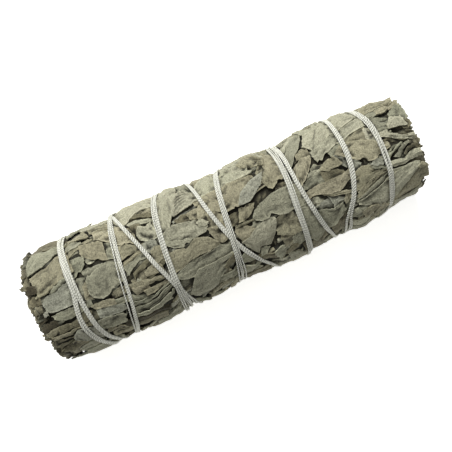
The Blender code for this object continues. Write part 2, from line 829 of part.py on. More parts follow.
def thread_section():
    """Return the six corners of the thread's section: across it, and out from the axis."""
    half_width = THREAD_WIDTH / 2
    half_thickness = THREAD_THICKNESS / 2
    flat = half_width - THREAD_EDGE
    return (
        (half_width, 0.0),
        (flat, half_thickness),
        (-flat, half_thickness),
        (-half_width, 0.0),
        (-flat, -half_thickness),
        (flat, -half_thickness),
    )


def groove_section():
    """Return the six corners of the groove's section: clear of the thread, and open outwards."""
    half_width = THREAD_WIDTH / 2 + CLEARANCE
    half_thickness = THREAD_THICKNESS / 2 + CLEARANCE
    flat = half_width - THREAD_EDGE
    return (
        (half_width, 0.0),
        (half_width + GROOVE_FLARE, GROOVE_REACH),
        (-half_width - GROOVE_FLARE, GROOVE_REACH),
        (-half_width, 0.0),
        (-flat, -half_thickness),
        (flat, -half_thickness),
    )


def ribbon(name, stations, turns, radii, section, group, material=None):
    """Return a section swept along the places, its second axis kept outward."""
    centres = place(stations, turns, radii)
    ahead = np.gradient(centres, axis=0)
    ahead /= np.linalg.norm(ahead, axis=1, keepdims=True)
    inner = place(stations, turns, radii * 0.5)
    out = centres - inner
    out -= np.sum(out * ahead, axis=1, keepdims=True) * ahead
    out /= np.linalg.norm(out, axis=1, keepdims=True)
    side = np.cross(ahead, out)
    rings = [centres + side * across + out * up for across, up in section]
    points = np.stack(rings, axis=1).reshape(-1, 3)
    strip = new_object(name, points, band_faces(len(centres), len(section)), group, material)
    face_outward(strip)
    return strip


def build_thread(heights, parts, cutters, material):
    """Return the binding thread with its knot, and the cutters for its grooves in the leaves."""
    stations, turns, radii, back = thread_places(heights)
    thread = ribbon("binding_thread", stations, turns, radii, thread_section(), parts, material)
    grooves = []
    for name, span in (("groove_out", slice(0, back + 1)), ("groove_home", slice(back - 1, None))):
        groove = ribbon(name, stations[span], turns[span], radii[span], groove_section(), cutters)
        hide_cutter(groove)
        grooves.append(groove)
    add_knot(thread, stations, turns, radii)
    return thread, grooves


def add_knot(thread, stations, turns, radii):
    """Join a small round knot to both ends of the thread, which lie side by side."""
    station = 0.5 * (stations[0] + stations[-1])
    turn = turns[0]
    radius = max(radii[0], radii[-1]) + KNOT_OUT
    centre = place(station, turn, radius)
    knot_group = new_collection("knot")
    mesh = bpy.data.meshes.new("knot")
    work = bmesh.new()
    bmesh.ops.create_uvsphere(work, u_segments=10, v_segments=7, radius=KNOT_RADIUS)
    bmesh.ops.scale(work, vec=KNOT_SHARES, verts=work.verts)
    bmesh.ops.translate(work, vec=Vector(centre), verts=work.verts)
    work.to_mesh(mesh)
    work.free()
    knot = bpy.data.objects.new("knot", mesh)
    knot_group.objects.link(knot)
    boolean(thread, "UNION", group=knot_group)
    remove_group(knot_group)


def hide_cutter(piece):
    """Mark a cutter so that it is drawn as wire and left out of the model."""
    piece.hide_render = True
    piece.display_type = "WIRE"


def floor_cutter(group):
    """Return a block whose top is the surface that the stick lies on."""
    mesh = bpy.data.meshes.new("floor_cut")
    work = bmesh.new()
    bmesh.ops.create_cube(work, size=0.2)
    bmesh.ops.translate(work, vec=(0.0, 0.0, -0.1), verts=work.verts)
    work.to_mesh(mesh)
    work.free()
    block = bpy.data.objects.new("floor_cut", mesh)
    group.objects.link(block)
    hide_cutter(block)
    return block


def build():
    """Build every piece of the stick."""
    clear_scene()
    parts = new_collection("sage_smudge_stick")
    cutters = new_collection("cutters")
    leaf_material = new_material("dried_sage_leaf", (0.24, 0.24, 0.17), 0.9)
    wood_material = new_material("dried_sage_wood", (0.19, 0.11, 0.06), 0.85)
    thread_material = new_material("cotton_thread", (0.72, 0.70, 0.60), 0.8)
    rng = np.random.default_rng(LEAF_SEED + 1)
    heights = Heights()
    blades = all_leaves(heights)
    thread, grooves = build_thread(heights, parts, cutters, thread_material)
    floor = floor_cutter(cutters)
    for index in range(STEM_COUNT):
        stem = leafy_stem(index, blades[index], rng, parts, leaf_material)
        boolean(stem, "DIFFERENCE", cutter=floor, solver="MANIFOLD")
        for groove in grooves:
            boolean(stem, "DIFFERENCE", cutter=groove, solver="MANIFOLD")
        path = wood_path(index, rng)
        hole = wood_solid(f"hole_{index + 1}", path + [0.0, 0.0, 0.0], CLEARANCE, cutters)
        hide_cutter(hole)
        boolean(stem, "DIFFERENCE", cutter=hole, solver="MANIFOLD")
        tidy_mesh(stem)
        drop_scraps(stem)
        wood_solid(f"woody_stem_{index + 1}", path, 0.0, parts, wood_material)


build()
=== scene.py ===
"""Sage smudge stick, dressed: felted sage leaves, woody stems and hand-wound cotton thread.

A place on the bundle is its station along the axis, its turn round the axis in degrees (0 on top, 90 on the
-Y side) and its radius from the axis. Lengths are in metres unless a name ends in _mm. A Range holds the two
ends of a uniform draw, and a Spread the mean and the deviation of a normal one.
"""

import logging
import math
from collections.abc import Callable
from dataclasses import dataclass, field, replace
from enum import Enum
from functools import partial

import bpy
import numpy as np
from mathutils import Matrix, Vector


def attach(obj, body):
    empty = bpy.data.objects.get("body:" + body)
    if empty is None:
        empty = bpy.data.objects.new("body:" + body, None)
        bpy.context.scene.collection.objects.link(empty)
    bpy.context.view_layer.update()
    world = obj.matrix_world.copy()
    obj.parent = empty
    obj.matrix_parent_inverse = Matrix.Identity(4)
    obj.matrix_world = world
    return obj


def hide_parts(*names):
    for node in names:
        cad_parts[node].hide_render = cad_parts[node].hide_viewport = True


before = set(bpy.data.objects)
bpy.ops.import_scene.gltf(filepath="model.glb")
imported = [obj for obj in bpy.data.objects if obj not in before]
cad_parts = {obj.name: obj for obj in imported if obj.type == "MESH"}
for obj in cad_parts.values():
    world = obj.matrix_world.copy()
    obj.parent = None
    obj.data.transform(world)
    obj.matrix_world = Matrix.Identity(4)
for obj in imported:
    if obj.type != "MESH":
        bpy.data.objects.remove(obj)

LOG = logging.getLogger("sage_stick")
Array = np.ndarray
Rng = np.random.Generator
Pair = tuple[float, float]
Range = tuple[float, float]
Spread = tuple[float, float]
MM = 0.001
FULL = 2.0 * math.pi
ANY_PHASE: Range = (0.0, 6.3)
PHOTO_SIDE_PX = 452


class Tone(Enum):
    """Colours of dried white sage leaves, as they look in even light."""

    GREY_GREEN = "#989781"
    PALE = "#afad95"
    KHAKI = "#9b967c"
    TAN = "#a9a388"
    BLUE_GREY = "#9f9f8d"
    BROWN = "#78735c"
    UMBER = "#474233"


# The leaves that the photo shows, the lowest first. Each has its tone, fold, pleats, crumple and level, then
# the corners of its upper side and of its lower side, both from left to right. A corner is a u and a t in
# pixels from the stick's middle, on the photo turned level, and a leaf has only the corners that it needs.
SHOWN_LEAVES = """
BROWN 0.4 0 1.6 1.0: -206 -14 -201 -17 -195 -15: -206 -7 -201 -6 -196 -6;
KHAKI 0.4 0 1.4 0.8: -206 -5 -202 -6 -197 -4: -207 3 -202 4 -197 3;
UMBER 0.5 0 1.6 1.0: -207 5 -202 5.5 -196 6: -206 13 -201 12 -196 11;
UMBER 0.5 0 1.5 0.9: -207 17 -200 14 -190 15: -205 22 -198 21 -189 20;
KHAKI 0.5 0 1.4 0.9: -204 24 -198 22.5 -189 22: -201 29 -197 28 -188 26;
UMBER 0.3 0 1.2 0.8: -205 -27 -201 -29 -196 -28: -205 -17 -200 -20 -196 -22;
BROWN 0.3 0 0.8 0.7: -211 -31 -205 -31 -201 -31: -210 -28 -205 -25 -201 -27;
BROWN 0.2 0 1.2 1.0: -75 -48.5 -68 -47 -58 -46.5: -80 -45.5 -70 -45 -60 -42;
PALE 0.4 0 0.8 0.7: -86 -43.5 -77 -43.5 -69 -42 -60 -40.5: -84 -39.5 -76 -39 -69 -38.5 -61 -37;
BROWN 0.2 0 1.2 0.9: -86 -40 -80 -40 -75 -39: -84 -33 -79 -33 -74 -35;
BROWN 0.2 0 1.0 1.1: -41 -28 -34 -29.5 -27 -29: -40 -22 -33 -21.5 -26 -21;
BROWN 0.4 0 0.6 0.9: -100 4 -92 0.5 -82 -4: -101 10 -92 5 -80 2;
KHAKI 0.3 0.2 1.4 0.7: -127 12 -118 11 -108 13 -95 14: -129 19 -118 20.5 -106 20 -92 19;
TAN 0.2 0 1.2 0.7: -108 17 -100 18 -92 20: -106 27 -100 25 -90 26;
KHAKI 0.3 0 1.6 0.5: -89 8 -84 5 -78 4 -72 6: -88 12.5 -80 13.5 -71 16;
KHAKI 0.3 0.2 1.2 0.4: -95 14 -86 16 -80 17 -71 21: -94 19 -85 21.5 -77 23 -70 25;
GREY_GREEN 0.3 0.1 0.8 0.7: -130 20 -120 22 -110 25 -100 28.5 -90 29: -131 24.5 -122 26.5 -114 30 -100 31.5
-88 32;
KHAKI 0.3 0 0.8 0.4: -97 24 -88 25 -80 26 -71 25: -96 29 -88 30 -79 28.5 -71 27;
GREY_GREEN 0.4 0.1 0.6 0.35: -113 31.5 -100 32.5 -90 33 -84 31 -78 29 -70 28: -113 36.5 -98 37.5 -88 35.5
-82 31.8 -70 29;
GREY_GREEN 0.4 0.15 0.5 0.5: -115 38 -98 38.5 -88 36.5 -78 31.5 -70 31: -115 43 -100 43 -90 41 -80 36.5 -70
33.5;
GREY_GREEN 0.4 0.15 0.5 0.6: -115 44 -100 44 -88 42 -78 37.5 -70 36: -115 47.5 -100 48 -88 47 -80 44 -71 40;
UMBER 0.3 0.1 0.6 0.8: -128 45.5 -115 49 -104 49.5 -92 49 -80 48.5: -128 49 -115 52.5 -104 51.5 -92 51.5 -80
50.5;
BROWN 0.4 0.1 0.6 0.8: -118 53 -105 52.5 -95 52 -84 53: -117 56 -104 56 -97 57 -86 56.5;
BROWN 0.4 0.1 0.8 0.9: -146 45 -138 46 -128 47: -148 49.5 -138 51 -126 51;
KHAKI 0.4 0.1 0.8 0.8: -143 51.5 -132 52 -118 52: -142 56.5 -130 57 -118 57;
GREY_GREEN 0.3 0.2 0.8 0.6: -28 44.5 -18 43.5 -5 43.5 2 44: -29 49 -18 50 -5 50.5 1 52;
GREY_GREEN 0.2 0 0.8 0.6: 4 38 9 34 14 36: 4 43 10 45 18 43.5;
GREY_GREEN 0.2 0 0.6 0.6: 2 45.5 12 47 22 49: -2 53 8 53 20 51;
BROWN 0.3 0.1 0.8 0.8: 21 42 30 42.5 42 46: 24 49 33 50 44 53;
GREY_GREEN 0.4 0.1 0.7 0.6: 36 43 45 41 52 42: 40 52 47 48 53 47;
KHAKI 0.3 0 1.2 0.45: 49 29 55 31 61 33: 50 42.5 56 42 61 38;
GREY_GREEN 0.4 0 0.8 0.4: 59 38 66 32.5 74 35: 58 42.5 66 46.5 74 47;
KHAKI 0.4 0.1 1.0 0.4: 48 17 56 12 63 13 75 13: 47 29 56 33 65 35 74 37;
GREY_GREEN 0.5 0.1 0.6 0.6: 49 51 58 52 67 54: 49 57 58 59 67 59.5;
BROWN 0.3 0.1 1.0 0.9: 66 49 75 51 92 47: 67 54 78 56 92 53;
BROWN 0.3 0.1 1.0 0.8: 99 47 108 43.5 118 40: 100 54 110 52 118 47;
GREY_GREEN 0.3 0 0.6 0.6: 117 54 130 54.5 142 52.5: 119 58 131 59 143 58.5;
PALE 0.3 0.1 0.6 0.6: 117 49.5 130 49 143 47.5: 117 53 130 52.5 143 51.5;
GREY_GREEN 0.3 0.1 0.6 0.6: 119 40.5 130 39 142 41: 118 46 128 47 142 45.5;
GREY_GREEN 0.3 0 0.6 0.6: 118 31.5 127 31 136 28: 119 36 128 34.5 136 32;
BROWN 0.2 0 1.0 0.9: 9 -9 14 -10.5 21 -8: 8 2.5 14 4 19 2.5;
BROWN 0.2 0 1.0 0.9: 65 -18 70 -18.5 77 -18: 64 -14 70 -13 77 -13;
BROWN 0.3 0 1.0 0.6: 181 -15 190 -12 200 -7.5: 185 -9 193 -8 204 -3;
BROWN 0.2 0 1.0 1.0: 205 -3 209 -3 213 0: 206 8 210 9 214 9;
GREY_GREEN 0.3 0 1.2 0.5: -146 -20 -140 -21 -128 -19 -118 -18 -109 -16: -147 -13 -134 -11 -120 -10 -108 -10;
BROWN 0.3 0 0.8 0.5: -169 16 -158 15 -146 16: -169 34 -158 36 -146 33;
GREY_GREEN 0.3 0 0.8 0.4: -160 -14 -154 -15 -147 -13: -160 13 -154 13 -147 12;
KHAKI 0.3 0 1.0 0.5: -152 -5 -146 -9 -140 -8: -154 9 -147 10 -140 8;
GREY_GREEN 0.3 0 0.8 0.5: -115 -37 -111 -35.5 -106 -34: -117 -20 -112 -18.5 -106 -19;
KHAKI 0.3 0 0.8 0.5: -103 -28 -95 -25.5 -88 -22 -80 -20.5: -106 -13 -98 -15.5 -90 -15.5 -80 -14.5;
KHAKI 0.5 0 0.5 0.4: -106 -10 -97 -12 -88 -15 -81 -15: -107 -4.5 -97 -7.5 -88 -10.5 -80 -11.5;
GREY_GREEN 0.3 0 0.6 0.4: -107 -5 -97 -7.5 -88 -10.5 -79 -11: -105 4 -100 0.5 -95 -2.5 -90 -5.5 -79 -5;
PALE 0.4 0 1.4 0.4: -82 -31 -77 -36.5 -70 -34 -63 -37: -81 -25 -76 -20.5 -70 -19 -64 -20;
BLUE_GREY 0.2 0 0.8 0.5: -81 -19 -75 -19.5 -67 -19: -78 -8 -74 -6 -66 -9;
KHAKI 0.2 0 1.2 0.5: -76 -9 -70 -12 -63 -10: -80 3 -72 5 -64 2;
KHAKI 0.3 0 1.2 0.5: -28 -27 -22 -30 -13 -30: -26 -20 -20 -19 -12 -20;
TAN 0.3 0 0.9 0.4: -20 -19 -14 -31 -7 -35.5 2 -34: -15 -7.5 -7 -3 2 -8 9 -14;
KHAKI 0.3 0 1.0 0.5: -15 -6.5 -6 -5 3 -8: -12 8 -7 14 3 13;
GREY_GREEN 0.2 0 1.6 0.5: -29 -57 -20 -57 -13 -54.5: -27 -51 -20 -49.5 -12 -47.5;
PALE 0.2 0 0.8 0.4: 3 -56.5 15 -56.5 30 -54.5: 3 -50 12 -49.5 21 -49.5;
PALE 0.2 0 1.4 0.4: 20 -55 30 -56 43 -56: 20 -50.5 30 -47.5 46 -43;
PALE 0.2 0 1.4 0.4: 43 -56.5 55 -56.5 65 -51.5: 47 -49 58 -49 66 -44;
KHAKI 0.4 0 0.6 0.5: 9 9 13 3.5 20 7.5 28 13.5: 10 15 13 22.5 21 19 29 14.5;
KHAKI 0.4 0 0.8 0.5: 22 -11 30 -12 38.5 -10: 17 2 24 2.5 31 -1 36 -6;
KHAKI 0.2 0 0.8 0.6: 12 4 22 3.5 31 4.5: 13 6.5 22 6.5 31 6.5;
KHAKI 0.5 0 0.8 0.4: 52 -38 57 -43.5 63 -45: 55 -25 58 -18 62 -15.5 68 -19;
PALE 0.3 0 0.7 0.35: 104 -17 109 -21 118 -15.5: 103 -14 110 -13 115 -13;
PALE 0.2 0 0.7 0.4: 100 -13.5 106 -14.3 113 -13: 97 -9 105 -9.3 112 -10.5;
GREY_GREEN 0.2 0 1.0 0.6: 91 -6 98 -8.5 105 -9.5 112 -9: 90 -0.5 100 1 112 1;
BROWN 0.2 0 0.8 0.6: 111 -10 118 -7 128 -7: 112 1 124 1 136 0;
KHAKI 0.3 0 0.9 0.5: 96 -38 103 -40.5 108 -38: 95 -32 102 -30.5 110 -30;
GREY_GREEN 0.2 0 0.6 0.5: 127 -24 134 -27 146 -31: 129 -18 136 -17 146 -12;
BLUE_GREY 0.2 0 0.8 0.6: 130 -19 136 -19 143 -14: 134 -9 138 -4 143 -3;
KHAKI 0.2 0 0.8 0.5: 132 -20 137 -25 143 -27: 134 -18 139 -15 143 -13;
KHAKI 0.3 0 0.7 0.5: 147 -31 157 -32 171 -33.5: 148 -26 158 -22.5 168 -20.5;
PALE 0.3 0 1.4 0.4: 168 -31 172 -32 179 -29: 167 -22 171 -17.5 179 -16;
BLUE_GREY 0.2 0 0.6 0.5: 143 -7 147 -10 153 -2: 142 4.5 147 6 152 2;
KHAKI 0.2 0 0.8 0.6: 142 6 151 1.5 160 4.5 170 9: 141 12 152 13 162 13 172 15;
GREY_GREEN 0.3 0.1 0.7 0.6: 160 6 168 8.5 175 12: 163 10 170 12.5 175 15;
BLUE_GREY 0.2 0 0.4 0.4: 161 4.7 168 0.5 174 3: 167 8 172 9.5 175 8;
PALE 0.4 0.1 0.8 0.4: 90 13.5 96 10.5 102 13 108 17: 91 21 97 20 108 18;
BLUE_GREY 0.3 0 1.0 0.35: 91 21.5 99 18.5 107 18 113 22: 92 25.5 101 24.5 107 28 114 27;
BLUE_GREY 0.2 0 1.0 0.5: 108 13.5 114 15.5 120 16.5 128 20.5: 111 24 116 20.5 122 22.5 127 22;
BLUE_GREY 0.3 0 1.0 0.35: 112 22 118 20.5 124 23.5: 109 28 116 27.5 124 26;
TAN 0.3 0 0.6 0.4: 122 25 126.5 20.5 130.5 21: 122 29.5 127 28.5 130.5 26;
KHAKI 0.3 0 0.6 0.4: 103 10.5 112 14.5 120 15.5 128 17.5 135 21.5: 105 12.5 113 17 120 18.3 128 20.5 134 23;
GREY_GREEN 0.3 0 0.5 0.5: 24 40 27 35 31.5 35.5: 24 43 30 41 34 38;
TAN 0.3 0 0.7 0.35: -121 -51 -112 -50.5 -105 -49.5 -97 -47.5 -91 -45 -84 -35: -122 -44 -114 -38.5 -108 -35
-100 -27 -94 -26.5 -83 -21.5;
KHAKI 0.1 0 0.5 0.2: -139 -44.5 -132 -42.5 -126 -41.5 -120 -41 -115.5 -37.5: -141 -34 -135 -29 -129 -25 -124
-22 -118.5 -20;
GREY_GREEN 0.2 0 0.6 0.3: -157 -37 -149 -35 -142 -34.5 -138 -33: -158 -16.5 -152 -17.5 -147 -20.5 -141 -25;
GREY_GREEN 0.3 0 0.6 0.4: -152 -50 -142 -50 -136 -48: -153 -44 -143 -44 -135 -45;
KHAKI 0.3 0 0.8 0.4: -152 -55 -142 -55 -130 -57: -152 -50.5 -140 -50.5 -126 -50;
GREY_GREEN 0.2 0 0.7 0.25: -146 -9 -143 -12.5 -133 -15.5 -118 -17 -109 -12: -148 3 -146 9.5 -138 14.5 -131
13 -121 7 -109 6;
KHAKI 0.3 0 1.0 0.4: -124 -57 -112 -57 -104 -55: -124 -50.5 -112 -50 -104 -50;
PALE 0.3 0 0.7 0.3: -132 -60.5 -115 -59.5 -100 -60.5: -130 -55.5 -118 -55 -102 -56;
PALE 0.3 0 0.7 0.3: -100 -60.5 -80 -60 -60 -59.5 -50 -58.5: -97 -50 -92 -45.5 -86 -44.5 -81 -46 -76 -48.5
-69 -50.5 -60 -51 -51 -54.5;
BROWN 0.2 0 0.6 0.3: -189 -58.5 -178 -60.5 -160 -61 -139 -60.8: -186 -56.5 -177 -56.5 -166 -55.5 -148 -56;
KHAKI 0.2 0 0.7 0.3: -197 -35 -190 -37 -180 -39.5 -171 -42.5 -162 -45.5 -153 -46: -196 -16.5 -188 -18 -180
-19.5 -172 -21.5 -163 -23.5 -154 -23;
GREY_GREEN 0.25 0 0.5 0.25: -197.5 -42 -195 -50 -186 -56 -178 -56.5 -172 -54 -160 -55 -150 -54: -198 -37.5
-190 -39.3 -180 -41.3 -170 -44.7 -162 -48.5 -150 -51;
KHAKI 0.7 0 0.4 0.4: -199 -14.5 -194 -16 -186 -18 -176 -20.5 -166 -22: -199 -12.5 -193 -13.5 -185 -14 -176
-18 -166 -20.5;
GREY_GREEN 0.5 0 0.5 0.4: -184 -12.5 -176 -18 -169 -20 -158 -21: -182 -10.3 -177 -11 -172 -13.5 -158 -16;
BLUE_GREY 0.2 0 0.6 0.25: -194.5 -7 -189 -11 -180 -10.5 -176 -11.5 -170 -14.5 -158 -16.5: -194.5 2.5 -191 6
-185 6.6 -175 7.2 -157 7;
GREY_GREEN 0.3 0 0.5 0.4: -192 9.5 -180 9.3 -170 9.3 -150 9.8: -188 15.5 -182 18.5 -175 19.3 -165 19 -150
16;
BROWN 0.3 0 0.8 0.4: -190 21.5 -183 23.5 -178 25 -171 24 -164 22 -155 21: -191 28 -182 29.5 -175 31 -168 31
-155 28;
KHAKI 0.4 0 0.7 0.5: -201 30 -190 29.8 -180 31.5 -172 32 -164 32: -200 33.5 -190 34.3 -180 36.5 -175 34.5
-164 36;
BROWN 0.4 0 0.7 0.5: -200 36 -190 36.5 -180 38.5: -201 39 -190 39.5 -180 40.5;
BROWN 0.4 0 0.7 0.5: -200 41 -190 41 -180 41.5: -197 45 -190 43.5 -181 43;
BLUE_GREY 0.2 0 0.5 0.3: -180 38 -175 34.5 -167 35.5 -160 38 -150 43: -180.5 41 -176 44.5 -168 48 -160 50.5
-147 52;
BROWN 0.8 0 0.6 0.4: -197 46.5 -189 45 -182 42.7 -176 45 -170 47.8: -194 49 -190 52 -186 56.5 -181 57 -178
54 -171 50;
GREY_GREEN 0.4 0 0.6 0.5: -180 54 -174 50.5 -168 50.5 -160 52 -154 54.8: -178 56 -170 56 -162 56 -152 55.5;
GREY_GREEN 0.3 0 0.6 0.4: -174 57.3 -165 57.3 -152 57.5 -135 57: -173.5 60 -160 60.8 -145 61.3 -130 61;
BLUE_GREY 0.2 0 0.6 0.3: -149 21 -140 22.5 -130 25 -122 27: -148 30 -140 32.5 -130 33.5 -120 34;
KHAKI 0.3 0 0.7 0.4: -152 16.5 -140 16 -128 19: -150 20.5 -140 22 -128 24;
GREY_GREEN 0.2 0 0.6 0.3: -152 34 -145 31.5 -138 33.5 -125 36: -152 42 -140 44 -125 44;
GREY_GREEN 0.2 0 0.7 0.35: -97 58 -85 57.8 -78 54.8 -66 54 -45 56: -98 60.8 -80 61 -62 60.5 -40 60;
GREY_GREEN 0.3 0 0.7 0.3: -146 -57 -132 -60 -120 -60: -146 -60 -132 -61.2 -118 -61;
PALE 0.2 0 0.4 0.2: -64 -22 -61 -38 -55 -50 -47.5 -57.3 -37 -59 -28 -56.5: -60 -19.5 -48 -23 -41 -35 -36 -46
-31 -50 -28 -53;
PALE 0.2 0.5 0.4 0.3: -36 -44.5 -30 -50.3 -22 -51 -12 -46: -42 -31.5 -32 -33 -20 -34.5 -12 -37.5;
PALE 0.2 0 0.6 0.25: -60 -19 -46 -23.5 -34 -21 -24 -19.3 -13 -9: -59 -11 -50 -8.5 -43 -6 -30 -2.8 -17 -4;
PALE 0.2 0 0.5 0.35: -60 -12 -45 -7 -33 -4.5: -59 -8 -52 -1.5 -44 1 -37 -0.5 -32 -3;
PALE 0.5 0 0.8 0.15: -22.5 -15 -17 -17.3 -11.5 -13.5: -20.5 -10.7 -15.5 -9 -11 -10.5;
KHAKI 0.2 0 0.4 0.35: -62 2 -53 0 -40 3.5 -31 -2.2 -22 -0.5 -17 2.5 -9.5 12: -64 16 -61.5 22 -52 19.5 -42
15.7 -32 15 -22 16 -9.5 14;
GREY_GREEN 0.3 0 0.4 0.3: -63 26.5 -55 21.3 -45 18.7 -30 17.3 -18 16.7 -9.5 14.3 -1 19.5 3 21: -62 29 -53 32
-44 32 -37 27.5 -28 29 -15 30 3 28;
GREY_GREEN 0.4 0 0.5 0.2: -46 33 -39.5 27.7 -28 28.5 -14 27.5 -3 27 4 27: -57 49 -49 52.5 -39 50.5 -31 49.3
-27 47.5 -22 43 -10 38.5 3 36;
BROWN 0.4 0 0.5 0.3: -15 37 -9 32.5 -1 28.5: -12.5 39.5 -5 37 1 33.5;
KHAKI 0.3 0 0.7 0.4: -16 55 -10 52 -4 52.3: -17 57.5 -8 58 -2 56.5;
BROWN 0.3 0.1 0.8 0.5: -1 54 12 53.5 26 54.5: -1 57.5 12 57.5 27 57.5;
PALE 0.2 0 0.5 0.3: -12.5 -47 -8.5 -52.5 0 -55.3 11 -51.3 20 -50 30 -46.5 50 -41: -12 -38 0 -38.3 15 -38.3
35 -38.7 47 -38.5;
KHAKI 0.3 0 0.5 0.3: -11 -37 5 -37.8 20 -38 35 -37.5 48 -36.5: -6 -22 9 -13.8 24 -13.3 30 -23 40 -28.5 49
-32;
BLUE_GREY 0.3 0 0.3 0.2: 23.5 -14.5 30 -24 40 -29.5 48 -33 58.5 -35.3: 25 -13.3 36 -13.3 43 -18 50 -22 56
-29;
PALE 0.3 0 0.5 0.2: 11.5 22 20 19.5 29 14.5 39 11 46 9.8 51.5 12.5: 14 28 22 40 26 34.2 31 33.7 37 36 44
28.5 50 19;
GREY_GREEN 0.2 0 0.6 0.25: 31 3 36 -2.5 44 -7 58 -11.3 68 -12.3 77 -13 87 -9.5: 33 6.7 39 9.8 46 9.9 50 6.2
56 11 62 13 72 12.7 79 13.5 88 10.5;
KHAKI 0.3 0 0.5 0.25: 61.5 -40 63.5 -48 69 -52.5 80 -52.5: 62.5 -25 64.5 -20.8 70 -21 80 -21;
PALE 0.3 0 0.6 0.3: 79 -52.5 88 -52.7 96 -55.5 105 -55: 82.5 -42 90 -43.5 95.5 -49.7 102 -53.3;
GREY_GREEN 0.1 0 0.3 0.3: 85 -42 91 -47.5 97 -53 103 -54 107.5 -53.5: 83 -25.5 90 -30.5 95.5 -37 100 -41
106.5 -49.5;
TAN 0.8 0 0.4 0.2: 85.5 -22.5 92 -28.7 100 -31 109 -30: 88.5 -4 94 -8 99.5 -14 104.5 -20 109 -27.5;
GREY_GREEN 0.1 0 0.4 0.25: 76 14.5 85 12.3 91.5 14.5 92.5 25 100 26 108 28.7 119 26.8: 73.5 47.5 80 50.3 86
49.8 92 46.5 99 45.5 108 41 119 35;
TAN 0.2 0 0.5 0.25: 87.5 5.3 95 1.5 105 0.7 120 1.5 130 1.3 141 -1.5: 90.5 11 96 8.5 103 9.8 111 13.8 122
14.6 129 12 140 7;
KHAKI 0.2 0 0.4 0.25: 111.5 -12.5 117 -16 124 -19 129.5 -20.3: 114 -10 120 -7.3 126 -8.7 131 -8.2 136 -9.7;
PALE 0.3 0 0.6 0.3: 101.5 -57 110 -56.3 120 -54.5 130 -56.5 142 -57: 108 -53 118 -52 128 -53 142 -54;
PALE 0.2 0 0.5 0.2: 110 -50.5 120 -51.7 130 -54 136 -55.5 144 -51: 105.5 -40 110 -36.5 113.5 -33 122 -35.3
131 -38.2 143 -43.5;
PALE 0.3 0 0.4 0.2: 109.5 -31.5 118 -33.3 130 -36.7 142 -41 152 -42.7 162 -44.3 170 -45: 113 -21 116 -22.5
118 -20 122 -24.3 130 -26.5 142 -30.3 155 -32.5 172 -34.5;
PALE 0.3 0 0.6 0.25: 136 -56 150 -57.5 162 -56 170 -51: 141 -42 152 -42.5 160 -45 170 -46.5;
TAN 0.6 0 0.3 0.2: 145 -27.5 155 -24.7 165 -20.7 173 -17.2 179 -12.7 186.5 -10: 144 -12.5 150 -7 153.5 -4.7
157 -6.5 161 0 168 0.8 177 -2.8 186.5 -4.3;
KHAKI 0.3 0 0.4 0.35: 138 12 150 11.3 162 12.3 176 15: 137 24 143 23.2 148 19.3 156 17.7 165 16.8 176 16;
KHAKI 0.4 0 0.4 0.3: 138.5 25.5 147 20.2 156 18.7 166 17.7 177 16.3: 136 30 145 26.7 153 23.7 163 20.7 176
18.5;
GREY_GREEN 0.4 0 0.4 0.3: 135.5 31 146 26.9 154 24.2 164 21.2 176 18.8 192 20.3: 134.5 32.5 145 31 155 29
165 26 177 23.5 192 21;
KHAKI 0.3 0 0.6 0.3: 167 47 176 41.7 186 37.2 196 31.5 204.5 27.3 213 28: 168 48.5 182 47.3 192 44.3 199
40.7 204 37.5 210 38.3;
PALE 0.5 0 0.3 0.2: 133.5 33.3 145 31.5 157 29 168 25.5 180 22.6 192 20.6 202 20.3 208 22.3: 136 38 145 41
155 46.7 165 48.3 176 42.3 186 37.8 196 31.8 205.5 26.5;
KHAKI 0.3 0 0.9 0.3: 134 42.3 143 41.7 151 43.3: 134 50 143 47.8 151 45.3;
KHAKI 0.3 0 0.6 0.35: 137.5 51.5 148 48.3 157 44.5: 139 53.5 150 50.8 162 48.7;
GREY_GREEN 0.3 0 0.6 0.35: 149 50.3 165 49.7 180 49.3 192 46.5 200 42.3: 149 54.5 165 53 180 52 190 50.3 199
44.5;
KHAKI 0.5 0 1.0 0.3: 204 26 209.5 23.3 213 26: 205 28.5 210 28.5 214 29.5;
GREY_GREEN 0.2 0.3 0.4 0.35: 176 -39 183 -38.8 188 -36 195 -31.5: 180 -21.5 185 -17.3 189 -16.5 192 -21;
PALE 0.2 0 0.6 0.3: 180 -21 184 -22.3 190 -20.5: 181 -16 185 -15.5 189 -15.5;
GREY_GREEN 0.3 0 0.7 0.4: 173 -46 180 -47.5 190 -45.5 197 -44: 176 -38.5 184 -40.3 190 -40 197 -39;
KHAKI 0.5 0 0.5 0.3: 186 -43.7 195 -43 204 -43.3 209 -46 212 -45: 187 -40.2 195 -38.6 204 -38.6 210.5 -41;
KHAKI 0.9 0 0.8 0.2: 171 -52 185 -52 194 -52.5 200 -50.5 206 -49.7: 174 -46.5 185 -45 196 -44 206 -43.5;
GREY_GREEN 0.2 0 0.4 0.3: 197.5 -35 204 -38.7 211.5 -39.7: 200 -27 206 -22.5 215.5 -25;
BROWN 0.4 0 0.6 0.3: 206 -21.5 210 -23.5 215.5 -22: 207 -16.5 212 -15 216.5 -17;
PALE 0.3 0 0.3 0.15: 192.5 -26 198 -32 208 -28.5: 191.5 -21.3 200 -20 211 -17;
GREY_GREEN 0.4 0 0.4 0.5: 180 2 188 0.8 193 -3.2 198.5 -4.2: 181 8.5 186 3.5 192 1.2 198.5 -1.8;
GREY_GREEN 0.4 0 0.4 0.35: 187 7 193 2.8 198 -1.7 205.5 -2.8: 191.5 10 195 7 200 1.2 205.5 0.2;
BROWN 0.4 0 0.4 0.5: 197 8.5 202 3.3 208 2 213 4: 199 11 203 6.5 208 5.5 213 8;
PALE 0.6 0 0.4 0.25: 180 10.7 187 10.7 196 12.5 202 9.3 209 8.3 213.5 10: 182.5 16.7 192 18 200 16.3 206
17.3 213.5 17;
